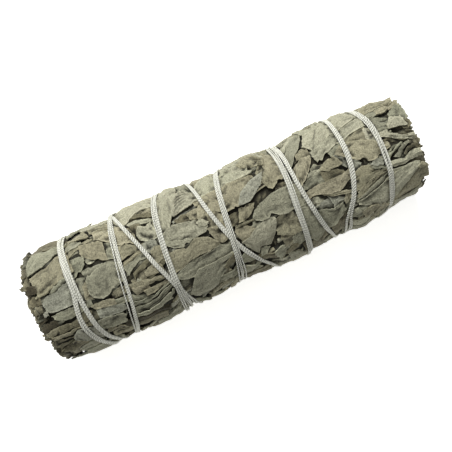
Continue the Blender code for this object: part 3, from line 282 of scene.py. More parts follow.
UMBER 0.5 0 1.6 0.5: -204 -26 -200 -28 -195 -26: -204 -20 -199 -18.5 -195 -19;
BLUE_GREY 0.4 0 0.8 0.3: -198.5 4 -196 2.5 -194 4: -198 8 -196 9 -194 8;
KHAKI 0.3 3 0.6 0.6: 38 -51 46 -55 56 -54 64 -48: 40 -47 48 -46 56 -44 63 -42;
PALE 0.9 0 0.4 0.2: 186 -19 196 -15 206 -11 215 -8: 186 -15 195 -10 205 -5 214 -1.5;
"""


def linear(hex_code: str) -> Array:
    """Turn an sRGB hex colour into linear red, green and blue."""
    srgb = np.array([int(hex_code[start : start + 2], 16) for start in (1, 3, 5)]) / 255.0
    return np.where(srgb <= 0.04045, srgb / 12.92, ((srgb + 0.055) / 1.055) ** 2.4)


def linear_alpha(hex_code: str) -> tuple[float, float, float, float]:
    """Turn an sRGB hex colour into the four linear values that a colour socket takes."""
    return (*(float(part) for part in linear(hex_code)), 1.0)


def feed(node: bpy.types.Node, inputs: dict) -> None:
    """Set each input, by name or number, to its value, or link it to the output socket given for it.

    Args:
        node: node whose inputs are set.
        inputs: a value or an output socket for each input.
    """
    for name, value in inputs.items():
        socket = node.inputs[name]
        if isinstance(value, bpy.types.NodeSocket):
            node.id_data.links.new(value, socket)
        else:
            socket.default_value = value


def add_node(
    tree: bpy.types.NodeTree, kind: str, inputs: dict | None = None, out: int | str = 0, **settings
) -> bpy.types.NodeSocket:
    """Add one node and return one of its outputs.

    Args:
        tree: node tree that gets the node.
        kind: type name of the node, after "ShaderNode".
        inputs: a value, or the output socket that feeds it, for each input by name or number.
        out: name or number of the output to return.
        settings: values of the node's own properties.

    Returns:
        The output socket.
    """
    node = tree.nodes.new("ShaderNode" + kind)
    for name, value in settings.items():
        setattr(node, name, value)
    feed(node, inputs or {})
    return node.outputs[out]


@dataclass
class Shell:
    """Points, faces and point values of one closed surface, or of several joined in one mesh."""

    points: Array
    faces: list[Array]
    values: dict[str, Array] = field(default_factory=dict)

    @staticmethod
    def joined(shells: list["Shell"]) -> "Shell":
        """Join shells end to end: each one's faces are counted on from the points before it.

        Args:
            shells: shells that have the same named values.

        Returns:
            One shell of all of them.
        """
        starts = np.cumsum([0] + [len(shell.points) for shell in shells[:-1]])
        faces: dict[int, list[Array]] = {}
        for start, shell in zip(starts, shells):
            for group in shell.faces:
                faces.setdefault(group.shape[1], []).append(group + start)
        names = shells[0].values.keys()
        return Shell(
            np.concatenate([shell.points for shell in shells]),
            [np.concatenate(groups) for groups in faces.values()],
            {name: np.concatenate([shell.values[name] for shell in shells]) for name in names},
        )

    def to_object(
        self, name: str, material: bpy.types.Material, smooth: bool = True, sharp_angle: float = 42.0
    ) -> bpy.types.Object:
        """Make a mesh object of the shell, at the origin, with its point values as attributes.

        Args:
            name: the piece's name.
            material: its one material.
            smooth: whether its faces are shaded smooth.
            sharp_angle: angle in degrees past which an edge between two faces stays sharp.

        Returns:
            The new object, linked to the scene.
        """
        mesh = bpy.data.meshes.new(name)
        corners = np.concatenate([group.ravel() for group in self.faces]).astype(np.int32)
        sides = np.concatenate([np.full(len(group), group.shape[1]) for group in self.faces])
        starts = np.concatenate([[0], np.cumsum(sides)[:-1]]).astype(np.int32)
        mesh.vertices.add(len(self.points))
        mesh.vertices.foreach_set("co", self.points.astype(np.float32).ravel())
        mesh.loops.add(len(corners))
        mesh.loops.foreach_set("vertex_index", corners)
        mesh.polygons.add(len(sides))
        mesh.polygons.foreach_set("loop_start", starts)
        mesh.update(calc_edges=True)
        mesh.polygons.foreach_set("use_smooth", np.full(len(sides), smooth))
        for key, value in self.values.items():
            kind, part = ("FLOAT", "value") if value.ndim == 1 else ("FLOAT_VECTOR", "vector")
            layer = mesh.attributes.new(key, kind, "POINT")
            layer.data.foreach_set(part, value.astype(np.float32).ravel())
        mesh.materials.append(material)
        mesh.validate()
        if smooth:
            mesh.set_sharp_from_angle(angle=math.radians(sharp_angle))
        piece = bpy.data.objects.new(name, mesh)
        bpy.context.scene.collection.objects.link(piece)
        return piece


def shell_faces(rows: int, columns: int) -> Array:
    """Return the quads of a sheet with a thickness.

    An upper grid of rows by columns, the same grid turned over, and a rim of quads between their borders.

    Args:
        rows: number of rows of the grid.
        columns: number of its columns.

    Returns:
        The point numbers of each face.
    """
    index = np.arange(rows * columns).reshape(rows, columns)
    upper = np.stack([index[:-1, :-1], index[1:, :-1], index[1:, 1:], index[:-1, 1:]], axis=-1).reshape(-1, 4)
    lower = upper[:, ::-1] + rows * columns
    border = np.concatenate([index[0, :], index[1:, -1], index[-1, -2::-1], index[-2:0:-1, 0]])
    after = np.roll(border, -1)
    rim = np.stack([border, after, after + rows * columns, border + rows * columns], axis=1)
    return np.concatenate([upper, lower, rim])


def tube_faces(rings: int, sides: int) -> list[Array]:
    """Return the faces of a tube of rings: quads round it, and one polygon at each end."""
    index = np.arange(rings * sides).reshape(rings, sides)
    nearby = np.roll(index, -1, axis=1)
    around = np.stack([index[:-1], nearby[:-1], nearby[1:], index[1:]], axis=-1).reshape(-1, 4)
    return [around, np.stack([index[0, ::-1], index[-1]])]


def tube_points(centres: Array, radii: Array, sides: int, outward: Array) -> Array:
    """Return the rings of a tube along a path.

    Each ring is centre + radius (out cos a + side sin a), where out is the outward direction freed of
    its part along the path, side is across both, and a goes once round, starting on the inner side.

    Args:
        centres: points along the path, one row each.
        radii: radius at each point, or at each point and side.
        sides: number of sides.
        outward: a direction away from the bundle at each point.

    Returns:
        Points of shape (rings, sides, 3).
    """
    ahead = np.gradient(centres, axis=0)
    ahead /= np.linalg.norm(ahead, axis=1, keepdims=True)
    out = outward - np.sum(outward * ahead, axis=1, keepdims=True) * ahead
    out /= np.linalg.norm(out, axis=1, keepdims=True)
    across = np.cross(ahead, out)
    angle = math.pi + np.arange(sides) / sides * FULL
    reach = np.broadcast_to(np.asarray(radii).reshape(len(centres), -1), (len(centres), sides))[..., None]
    cosine, sine = np.cos(angle)[None, :, None], np.sin(angle)[None, :, None]
    return centres[:, None, :] + reach * (out[:, None, :] * cosine + across[:, None, :] * sine)


def tent(away: Array) -> Array:
    """Return 1 at 0, straight down to 0 at 1 to each side, and 0 beyond."""
    return np.clip(1 - np.abs(away), 0, 1)


def zigzag(along: Array) -> Array:
    """Return a straight-sided wave between 0 and 1 with a period of 1."""
    return np.abs((along % 1.0) - 0.5) * 2


def eased(values: Array, times: int) -> Array:
    """Return values with all but the end ones moved halfway to the mean of their two neighbours."""
    for _ in range(times):
        middle = 0.5 * values[..., 1:-1] + 0.25 * (values[..., :-2] + values[..., 2:])
        values = np.concatenate([values[..., :1], middle, values[..., -1:]], axis=-1)
    return values


def refined(values: Array, times: int) -> Array:
    """Return a grid with times as many steps each way, filled in by straight lines.

    Args:
        values: a grid of numbers.
        times: how many new steps one old step becomes.

    Returns:
        The finer grid.
    """
    for _ in range(2):
        wanted = np.linspace(0, len(values) - 1, (len(values) - 1) * times + 1)
        low = np.minimum(wanted.astype(int), len(values) - 2)
        share = (wanted - low)[:, None]
        values = (values[low] * (1 - share) + values[low + 1] * share).T
    return values


def neighbour_mean(values: Array) -> Array:
    """Return the mean of each grid value's four neighbours, with the border's own values past its edge."""
    padded = np.pad(values, 1, mode="edge")
    return 0.25 * (padded[:-2, 1:-1] + padded[2:, 1:-1] + padded[1:-1, :-2] + padded[1:-1, 2:])


def along_chain(corners: Array, shares: Array) -> Array:
    """Return the places at shares of a chain's length, straight between its corners."""
    steps = np.linalg.norm(np.diff(corners, axis=0), axis=1)
    run = np.concatenate([[0.0], np.cumsum(steps)]) / steps.sum()
    return np.stack([np.interp(shares, run, corners[:, 0]), np.interp(shares, run, corners[:, 1])], axis=1)


@dataclass(frozen=True)
class BundleForm:
    """The round bundle that everything lies on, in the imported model's frame.

    The envelope has a station and a radius at each place. The edges have, at each station, what the outline's
    far and near long edges have more than the envelope.
    """

    envelope_mm: tuple[Pair, ...] = (
        (-53.2, 8.0), (-52.6, 12.0), (-51.5, 14.2), (-49.5, 15.3), (-46.0, 15.6), (-30.0, 15.65),
        (-16.0, 15.35), (-8.0, 15.0), (0.0, 14.6), (9.0, 14.9), (18.0, 14.5), (28.0, 14.8),
        (38.0, 14.6), (44.0, 14.0), (48.0, 13.4), (51.0, 12.6), (53.0, 10.6), (54.0, 8.0),
    )  # fmt: skip
    edges_mm: tuple[tuple[float, float, float], ...] = (
        (-50.0, -0.7, -0.5), (-40.0, -0.3, -0.2), (-31.0, -0.5, 0.2), (-27.0, -0.7, 0.1),
        (-22.0, 0.2, 0.1), (-15.0, -0.2, 0.0), (-10.0, 0.2, 0.4), (-4.0, -0.1, 0.2), (6.0, -0.2, -0.1),
        (13.0, -0.2, 0.5), (17.0, -0.7, 0.7), (22.0, -0.8, 0.0), (26.0, 0.0, 0.4), (33.0, 0.4, 0.3),
        (38.0, -0.1, -0.2), (44.0, 0.1, -0.4), (50.0, 0.6, 0.1),
    )  # fmt: skip
    shift_x: float = -0.0005
    flat_depth: float = 0.0010
    leaf_layers: float = 0.0034
    stems: int = 6
    held: Range = (-0.0512, 0.0508)
    level_reach: float = 0.042
    off_ground: float = 0.00006
    mm_per_degree: float = 0.248

    def envelope(self, station: Array) -> Array:
        """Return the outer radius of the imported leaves: straight between the profile's places."""
        stations, radii = np.array(self.envelope_mm).T * MM
        return np.interp(station, stations, radii)

    def skin(self, station: Array, turn: Array) -> Array:
        """Return the radius that the outermost leaves lie at.

        It is the envelope's, held past the last bands, with what the outline's two long edges have more or
        less of it, and less where the floor is nearer.

        Args:
            station: stations in metres.
            turn: turns in degrees.

        Returns:
            Radii in metres.
        """
        outside = self.envelope(np.clip(station, *self.held))
        stations, far, near = np.array(self.edges_mm).T * MM
        side = np.sin(np.radians(turn))
        for more, facing in ((far, -side), (near, side)):
            outside = outside + np.interp(station, stations, more) * np.clip(facing, 0, 1) ** 2
        down = np.maximum(-np.cos(np.radians(turn)), 0.05)
        return np.minimum(outside, (self.axis_height(station) - self.off_ground) / down)

    def axis_height(self, station: Array) -> Array:
        """Return the height of the axis: the envelope's radius less the depth of the flat underneath."""
        return self.envelope(np.clip(station, -self.level_reach, self.level_reach)) - self.flat_depth

    def place(self, station: Array, turn: Array, radius: Array) -> Array:
        """Return points: x the station, y -radius sin turn, z the axis plus radius cos turn.

        Args:
            station: stations in metres.
            turn: turns in degrees.
            radius: distances from the axis.

        Returns:
            Points, with x, y and z last.
        """
        station, turn, radius = np.broadcast_arrays(station, turn, radius)
        angle = np.radians(turn)
        height = self.axis_height(station) + radius * np.cos(angle)
        return np.stack([station + self.shift_x, -radius * np.sin(angle), height], axis=-1)

    def off_floor(self, station: Array, turn: Array, radius: Array, spare: float) -> Array:
        """Return the radius, less where something that reaches past it by spare would touch the floor.

        Args:
            station: stations in metres.
            turn: turns in degrees.
            radius: distances from the axis.
            spare: reach past the radius.

        Returns:
            Radii of the same shape.
        """
        down = -np.cos(np.radians(turn))
        least_down = 0.3
        limit = (self.axis_height(station) - spare) / np.maximum(down, least_down)
        return np.where(down > least_down, np.minimum(radius, limit), radius)

    def stem_at(self, turn: float) -> int:
        """Return the number of the leafy stem, from 0, whose share of the bundle has this turn in it."""
        share = 360.0 / self.stems
        return int((turn + share / 2) // share) % self.stems


@dataclass(frozen=True)
class ThreadRoute:
    """The way the thread goes: out along the stick and back, as turn in degrees and station."""

    stops_mm: tuple[Pair, ...] = (
        (-135.0, -37.1), (-90.0, -38.2), (0.0, -37.9), (37.0, -37.5), (90.0, -34.5), (270.0, -25.5),
        (292.0, -24.2), (357.0, -18.8), (398.0, -15.8), (450.0, -14.9), (630.0, -5.0), (652.0, -3.7),
        (702.0, -1.4), (743.0, 1.8), (783.0, 6.8), (810.0, 9.5), (990.0, 20.3), (1026.0, 20.5),
        (1068.0, 20.6), (1115.0, 22.4), (1150.0, 24.7), (1170.0, 26.0), (1350.0, 42.0), (1376.0, 42.4),
        (1404.0, 43.1), (1455.0, 42.6), (1503.0, 40.6), (1530.0, 39.0), (1710.0, 34.8), (1737.0, 34.8),
        (1766.0, 34.8), (1796.0, 34.1), (1824.0, 32.1), (1848.0, 29.2), (1890.0, 28.2), (2070.0, 19.0),
        (2106.0, 19.1), (2139.0, 19.0), (2171.0, 18.3), (2250.0, 17.7), (2430.0, 5.0), (2507.0, 1.8),
        (2537.0, 0.9), (2610.0, -1.5), (2790.0, -12.2), (2876.0, -14.8), (2912.0, -15.7), (2970.0, -16.5),
        (3150.0, -24.5), (3231.0, -26.1), (3255.0, -27.1), (3318.0, -30.8), (3330.0, -31.5), (3510.0, -39.1),
        (3595.0, -38.6), (3625.0, -40.2), (3662.0, -38.8), (3690.0, -36.3), (3825.0, -35.0),
    )  # fmt: skip
    step: float = 3.0
    back: float = 1620.0

    def stations(self, wanted: Array) -> Array:
        """Return the station at each turn: a cubic through the stops, with slopes kept from overshooting.

        Args:
            wanted: turns in degrees.

        Returns:
            Stations in metres.
        """
        turns, stations = np.array(self.stops_mm).T
        stations = stations * MM
        slope = np.gradient(stations, turns)
        index = np.clip(np.searchsorted(turns, wanted, side="right") - 1, 0, len(turns) - 2)
        width = turns[index + 1] - turns[index]
        share = (wanted - turns[index]) / width
        rise = stations[index + 1] - stations[index]
        limit = 2.0 * np.abs(rise)
        start = np.clip(slope[index] * width, -limit, limit)
        end = np.clip(slope[index + 1] * width, -limit, limit)
        square, cube = share**2, share**3
        return (
            stations[index] * (2 * cube - 3 * square + 1)
            + stations[index + 1] * (3 * square - 2 * cube)
            + start * (cube - 2 * square + share)
            + end * (cube - square)
        )

    def turns(self) -> Array:
        """Return evenly stepped turns from one end of the thread to the other."""
        return np.arange(self.stops_mm[0][0], self.stops_mm[-1][0] + 0.1, self.step)


@dataclass
class LaidSurface:
    """How high the leaves already laid reach, cell by cell, and how high the next may come.

    It starts from the bundle's core. The ceiling has a valley wherever the thread is pulled tight.
    """

    form: BundleForm
    route: ThreadRoute
    cell: float = 0.00025
    start: float = -0.0560
    rows: int = 449
    columns: int = 360
    spare: float = 0.00015
    bite: float = 0.0007
    valley_half: float = 0.0008
    valley_slope: float = 0.55
    valley_cells: int = 12

    def __post_init__(self) -> None:
        """Fill the grids of cells: the radii of the core, of the skin and of the ceiling with its valley."""
        stations = self.start + self.cell * np.arange(self.rows)
        core = self.form.envelope(stations) - self.form.leaf_layers
        self.top = np.repeat(core[:, None], self.columns, axis=1)
        self.skin = self.form.skin(stations[:, None], np.arange(self.columns)[None, :])
        ceiling = self.skin + self.spare
        underneath = slice(90, 271)
        ceiling[:, underneath] = self.skin[:, underneath]
        away = np.clip(self.thread_distance() - self.valley_half, 0.0, None)
        self.ceiling = np.minimum(ceiling, self.skin - self.bite + self.valley_slope * away)

    def thread_distance(self) -> Array:
        """Return each cell's distance from the thread, as far as the valley can reach, and 1 m beyond."""
        turns = np.arange(self.route.stops_mm[0][0], self.route.stops_mm[-1][0], 1.0)
        row, column = self.cells(self.route.stations(turns), turns)
        near = np.full(self.skin.shape, 1.0)
        steps = range(-self.valley_cells, self.valley_cells + 1)
        for row_step in steps:
            for column_step in steps:
                rows = np.clip(row + row_step, 0, self.rows - 1)
                columns = (column + column_step) % self.columns
                np.minimum.at(near, (rows, columns), self.cell * math.hypot(row_step, column_step))
        return near

    def cells(self, station: Array, turn: Array) -> tuple[Array, Array]:
        """Return the row and column of each place."""
        row = np.clip(np.rint((station - self.start) / self.cell).astype(int), 0, self.rows - 1)
        return row, np.rint(turn).astype(int) % self.columns

    def highest(self, station: Array, turn: Array, reach: int = 1) -> Array:
        """Return the highest laid radius within reach cells of each place.

        Args:
            station: stations in metres.
            turn: turns in degrees.
            reach: how many cells away still count.

        Returns:
            Radii in metres.
        """
        row, column = self.cells(station, turn)
        found = np.zeros(np.shape(row))
        for row_step in range(-reach, reach + 1):
            rows = np.clip(row + row_step, 0, self.rows - 1)
            for column_step in range(-reach, reach + 1):
                found = np.maximum(found, self.top[rows, (column + column_step) % self.columns])
        return found

    def bounds(self, station: Array, turn: Array) -> tuple[Array, Array]:
        """Return the skin's radius, and the radius that a leaf's upper side should keep below."""
        cells = self.cells(station, turn)
        return self.skin[cells], self.ceiling[cells]

    def smoothed(self, reach: int) -> Array:
        """Return the laid radius averaged over a square of cells, reach cells to each side."""
        steps = range(-reach, reach + 1)
        wide = sum(np.roll(self.top, step, axis=1) for step in steps)
        padded = np.pad(wide, ((reach, reach), (0, 0)), mode="edge")
        return sum(padded[reach + step : reach + step + self.rows] for step in steps) / len(steps) ** 2

    def hollow(self, reach: int) -> Callable[[Array, Array, Array], Array]:
        """Return a function for how far below the mean of what is laid round it a point lies, in metres."""
        mean = self.smoothed(reach)
        return lambda station, turn, radius: np.clip(mean[self.cells(station, turn)] - radius, 0.0, None)

    def lay(self, station: Array, turn: Array, radius: Array) -> None:
        """Raise the cells under a grid of places to its radii, filled in between by straight lines."""
        station, turn, radius = (refined(values, 4) for values in (station, turn, radius))
        row, column = self.cells(station, turn)
        np.maximum.at(self.top, (row.ravel(), column.ravel()), radius.ravel())


@dataclass(frozen=True)
class Leaf:
    """One dried leaf or piece of one, on the unrolled bundle.

    Its two sides are chains of corners from its foot to its tip. Each corner is a station and an arc, in mm.
    The fold, the pleats, the level below the skin, the pitch of its grid and how far it stays sunk below the
    ceiling are in mm. Inner is how much painted shade darkens it for lying deep inside, and shades how much
    its own brightness may vary.
    """

    upper: Array
    lower: Array
    tone: Tone
    fold: float
    pleats: float
    crumple: float
    level: float
    pitch: float = 0.42
    sunk: float = 0.0
    inner: float = 0.0
    shades: float = 0.13


@dataclass(frozen=True)
class LaidLeaf:
    """A leaf's shell, the stem that it grows on, and the stations, turns and radii of its grid."""

    stem: int
    shell: Shell
    station: Array
    turn: Array
    radius: Array
    inner: float


@dataclass(frozen=True)
class LeafSheet:
    """Makes the closed shell of one leaf, draped over what is laid already."""

    form: BundleForm
    thickness: float = 0.00030
    gap: float = 0.00002
    least_step: float = 0.00006
    soft_top: float = 0.00020
    above_floor: float = 0.00004
    averagings: int = 24
    fewest: int = 5
    tooth_mm: float = 1.05
    tooth_depth_mm: float = 0.045
    slow_wave_mm: float = 0.04
    nick_mm: Range = (0.15, 0.45)
    nick_reach_mm: Range = (0.3, 0.8)
    side_jag_mm: Spread = (0.0, 0.03)
    side_out_mm: float = 0.08
    end_jag_mm: Spread = (0.0, 0.10)
    end_out_mm: float = 0.06
    creases: int = 3
    crease_mm: Range = (0.08, 0.32)
    crease_reach_mm: Range = (0.5, 1.4)
    waves: int = 4
    wave_mm: Range = (0.9, 3.0)
    wave_steepness: float = 0.028
    vein_gap_mm: float = 1.4
    vein_mm: float = 0.018
    midrib_mm: float = 0.05
    midrib_half_mm: float = 0.25
    curl_mm: Range = (-0.10, 0.32)
    curled_end: float = 0.2
    felt_mm: Spread = (0.0, 0.010)
    # Share of the half width, in from the border, that the painted rim highlight covers.
    highlight_rim_share: float = 0.16
    hue_drift: Spread = (0.0, 0.004)

    def rough_line(self, count: int, length: float, rng: Rng) -> Array:
        """Return how far a torn and toothed side stands out, in mm.

        Slow waves, teeth about a millimetre apart, a few short nicks, and a jag at every point.

        Args:
            count: number of points along the side.
            length: its length in mm.
            rng: source of the draws.

        Returns:
            One number for each point, outwards positive.
        """
        run = np.linspace(0.0, length, count)
        line = self.slow_wave_mm * np.sin(run * rng.uniform(0.6, 1.6) + rng.uniform(*ANY_PHASE))
        teeth = np.abs(np.sin(math.pi * run / self.tooth_mm + rng.uniform(0, 3))) - 0.6
        line = line + self.tooth_depth_mm * teeth
        for _ in range(rng.integers(0, 3)):
            centre, depth = rng.uniform(0.0, length), rng.uniform(*self.nick_mm)
            line = line - depth * tent((run - centre) / rng.uniform(*self.nick_reach_mm))
        return line + rng.normal(*self.side_jag_mm, count) + self.side_out_mm

    def grid(self, leaf: Leaf, rng: Rng) -> tuple[Array, Array, Array, Array, Array]:
        """Return the leaf's grid: its places, then along and across it in mm, and the shares s and t.

        Each row runs straight from the lower side to the upper one at the same share s of their lengths. The
        sides and the ends are then pushed out along the rows and columns by their rough lines.

        Args:
            leaf: the leaf.
            rng: source of the draws.

        Returns:
            Places of shape (rows, columns, 2), then four grids of shape (rows, columns).
        """
        lengths = [np.linalg.norm(np.diff(chain, axis=0), axis=1).sum() for chain in (leaf.upper, leaf.lower)]
        length = 0.5 * sum(lengths)
        rows = max(self.fewest, int(length / leaf.pitch) + 1)
        s = np.linspace(0.0, 1.0, rows)
        upper, lower = along_chain(leaf.upper, s), along_chain(leaf.lower, s)
        widths = np.linalg.norm(upper - lower, axis=1)
        columns = max(self.fewest, int(np.percentile(widths, 70) / leaf.pitch) + 1)
        t = np.linspace(-1.0, 1.0, columns)
        t = t * (1.08 - 0.08 * t**2)
        v = 0.5 + 0.5 * t
        places = lower[:, None, :] + (upper - lower)[:, None, :] * v[None, :, None]
        across_way = (upper - lower) / np.maximum(widths, 0.05)[:, None]
        room = np.clip(widths / 1.2, 0.25, 1.0)[:, None]
        for side, share in ((1.0, v**3), (-1.0, (1 - v) ** 3)):
            push = self.rough_line(rows, length, rng)[:, None] * room * share[None, :]
            places = places + side * push[..., None] * across_way[:, None, :]
        middle = 0.5 * (upper + lower)
        ahead = (middle[-1] - middle[0]) / np.linalg.norm(middle[-1] - middle[0])
        for side, share in ((1.0, s**6), (-1.0, (1 - s) ** 6)):
            jag = rng.normal(*self.end_jag_mm, columns) + self.end_out_mm
            places = places + side * (share[:, None] * jag[None, :])[..., None] * ahead
        s, t = np.meshgrid(s, t, indexing="ij")
        return places, length * (s - 0.5), 0.5 * t * widths[:, None], s, t

    def relief(self, leaf: Leaf, along: Array, across: Array, s: Array, t: Array, rng: Rng) -> Array:
        """Return how far each point is lifted, in mm: a fold, creases, waves, pleats, veins and curled edges.

        The fold is a tent over a line near the middle. A crease is a tent or a trough along a random line.
        Veins are a groove along the midrib and shallow ones that leave it at 45 degrees.

        Args:
            leaf: the leaf.
            along: places along the flat leaf, in mm.
            across: places across it, in mm.
            s: shares of its length, from 0 to 1.
            t: shares of its half width, from -1 to 1.
            rng: source of the draws.

        Returns:
            Heights in mm.
        """
        middle = rng.uniform(-0.3, 0.3)
        lift = leaf.fold * tent((t - middle) / (1 + abs(middle))) ** 1.2
        lift = lift + rng.uniform(-0.25, 0.25) * np.cos((s - rng.uniform(0.2, 0.8)) * 3.5)
        for _ in range(self.creases + int(2 * leaf.crumple)):
            angle = rng.normal(0.0, 0.5) + rng.choice([0.0, 0.5 * math.pi], p=[0.75, 0.25])
            away = across * math.cos(angle) + along * math.sin(angle)
            away = away - rng.uniform(-0.45, 0.45) * np.ptp(away)
            reach = rng.uniform(*self.crease_reach_mm)
            height = rng.uniform(*self.crease_mm) * rng.choice([-1.0, 1.0]) * (0.3 + 0.7 * leaf.crumple)
            lift = lift + height * tent(away / reach)
        for _ in range(self.waves):
            angle = rng.normal(0.0, 0.8)
            wave = rng.uniform(*self.wave_mm)
            height = self.wave_steepness * wave * leaf.crumple * rng.uniform(0.4, 1.0)
            phase = (across * math.cos(angle) + along * math.sin(angle)) / wave
            lift = lift + height * np.sin(FULL * phase + rng.uniform(*ANY_PHASE))
        if leaf.pleats > 0:
            lift = lift + leaf.pleats * zigzag(across + 0.04 * along + rng.uniform())
        lift = lift - self.midrib_mm * np.exp(-((across / self.midrib_half_mm) ** 2))
        lift = lift + self.vein_mm * zigzag((along - 0.9 * np.abs(across)) / self.vein_gap_mm)
        sides = [np.clip(sign * t, 0, 1) ** 5 for sign in (1, -1)]
        ends = [np.clip(1 - share / self.curled_end, 0, 1) ** 2 for share in (1 - s, s)]
        for curl, border in zip(rng.uniform(*self.curl_mm, 4), sides + ends):
            lift = lift + curl * border
        return lift + rng.normal(*self.felt_mm, along.shape)

    def drape(self, leaf: Leaf, surface: LaidSurface, rng: Rng) -> LaidLeaf:
        """Drape one leaf and lay it.

        Its under side starts as the highest laid radius near each point. Averaging with its neighbours, never
        below that, bridges the hollows as a stiff leaf does. Where nothing holds it up, it lies at its level
        below the skin. The relief is added, up to the ceiling.

        Args:
            leaf: the leaf to lay.
            surface: what is laid already. It is raised by this leaf.
            rng: source of the leaf's own draws.

        Returns:
            The leaf's closed shell with its tint and the mask of its painted rim highlight, and its place.
        """
        places, along, across, s, t = self.grid(leaf, rng)
        lift = self.relief(leaf, along, across, s, t, rng) * MM
        station = places[..., 0] * MM
        turn = places[..., 1] / self.form.mm_per_degree
        base = surface.highest(station, turn) + self.gap
        low = base
        for _ in range(self.averagings):
            low = np.maximum(base, neighbour_mean(low))
        skin, ceiling = surface.bounds(station, turn)
        high = np.minimum(np.maximum(low + self.thickness, skin - leaf.level * MM), ceiling - leaf.sunk * MM)
        high = high + np.minimum(lift - np.percentile(lift, 80), self.soft_top)
        high = np.maximum(high, base + self.least_step)
        high = self.form.off_floor(station, turn, high, self.above_floor)
        surface.lay(station, turn, high)
        radii = (high, high - self.thickness)
        points = np.concatenate([self.form.place(station, turn, radius).reshape(-1, 3) for radius in radii])
        tint = linear(leaf.tone.value) * (1 + leaf.shades * rng.uniform(-1, 1))
        tint = tint * (1 + rng.normal(*self.hue_drift, 3))
        edge = np.minimum(1 - np.abs(t), 6 * np.minimum(s, 1 - s)).ravel()
        place = np.stack([along, across, np.full(s.shape, rng.uniform(0, 50))], axis=-1).reshape(-1, 3)
        values = {
            "leaf_tint": np.tile(tint, (len(points), 1)),
            # Painted highlight: the border of the upper side, the thin edge and the whole under side are lit
            # paler.
            "leaf_painted_highlight_rim": np.concatenate([np.clip(1 - edge / self.highlight_rim_share, 0, 1), np.ones(edge.size)]),
            "leaf_place": np.tile(place, (2, 1)),
        }
        stem = self.form.stem_at(float(turn.mean()))
        shell = Shell(points, [shell_faces(*along.shape)], values)
        return LaidLeaf(stem, shell, station, turn, high, leaf.inner)


@dataclass(frozen=True)
class PhotoView:
    """The photo's camera, which looks straight down on the stick's axis."""

    distance_mm: float = 173.0
    focal_px: float = 663.0
    slant: float = 24.66
    aim: tuple[float, float, float] = (0.0003, 0.0001, 0.0138)
    first_height_mm: float = 14.5
    widest_sine: float = 0.995
    rounds: int = 30

    def on_bundle(self, level_px: str, form: BundleForm) -> Array:
        """Return a station and an arc in mm for each place on the photo, turned so that the stick is level.

        A place on the skin, radius cos turn above the axis, is that much nearer to the camera, so one pixel
        is (distance - radius cos turn) / focal length there. Both are found in turns, starting from the top.

        Args:
            level_px: u and t of each place, in pixels from the stick's middle.
            form: the bundle that they are seen on.

        Returns:
            Rows of a station and an arc.
        """
        u, t = np.array(level_px.split(), dtype=float).reshape(-1, 2).T
        height = np.full(len(u), self.first_height_mm)
        for _ in range(self.rounds):
            scale = (self.distance_mm - height) / self.focal_px
            radius = form.skin(u * scale * MM, 0.0) / MM
            sine = np.clip(t * scale / radius, -self.widest_sine, self.widest_sine)
            height = radius * np.sqrt(1 - sine**2)
        return np.stack([u * scale, np.degrees(np.arcsin(sine)) * form.mm_per_degree], axis=1)


@dataclass(frozen=True)
class LeafKind:
    """What the drawn leaves of one kind share: size, slant in degrees, fold and a Leaf's settings."""

    length_mm: Range
    width_mm: Range
    slant: Spread
    fold: Range
    crumple: float
    level: float
    sunk: float
    pitch: float = 0.42
    inner: float = 0.0
    end_share: Range = (0.3, 0.9)
    dark: bool = False


# DEEP and BEHIND leaves lie deep inside: their inner share is painted shade that darkens them.
DEEP = LeafKind(
    (9.0, 15.0), (3.4, 6.0), (14.0, 12.0), (0.2, 1.0), 1.0, 2.4, 2.2, pitch=0.7, inner=0.5, dark=True
)
BEHIND = replace(DEEP, level=1.5, sunk=1.3, inner=0.25)
RIDGE = LeafKind((7.0, 14.0), (0.9, 1.9), (15.0, 8.0), (0.4, 0.9), 0.7, 0.55, 0.4)
SCRAP = LeafKind(
    (2.0, 4.5), (0.8, 2.0), (15.0, 30.0), (0.1, 0.4), 1.4, 0.9, 0.7, pitch=0.4, end_share=(0.3, 1.0)
)
FLANK = LeafKind((8.0, 14.0), (2.5, 4.6), (8.0, 9.0), (0.2, 0.5), 0.7, 0.7, 0.6)


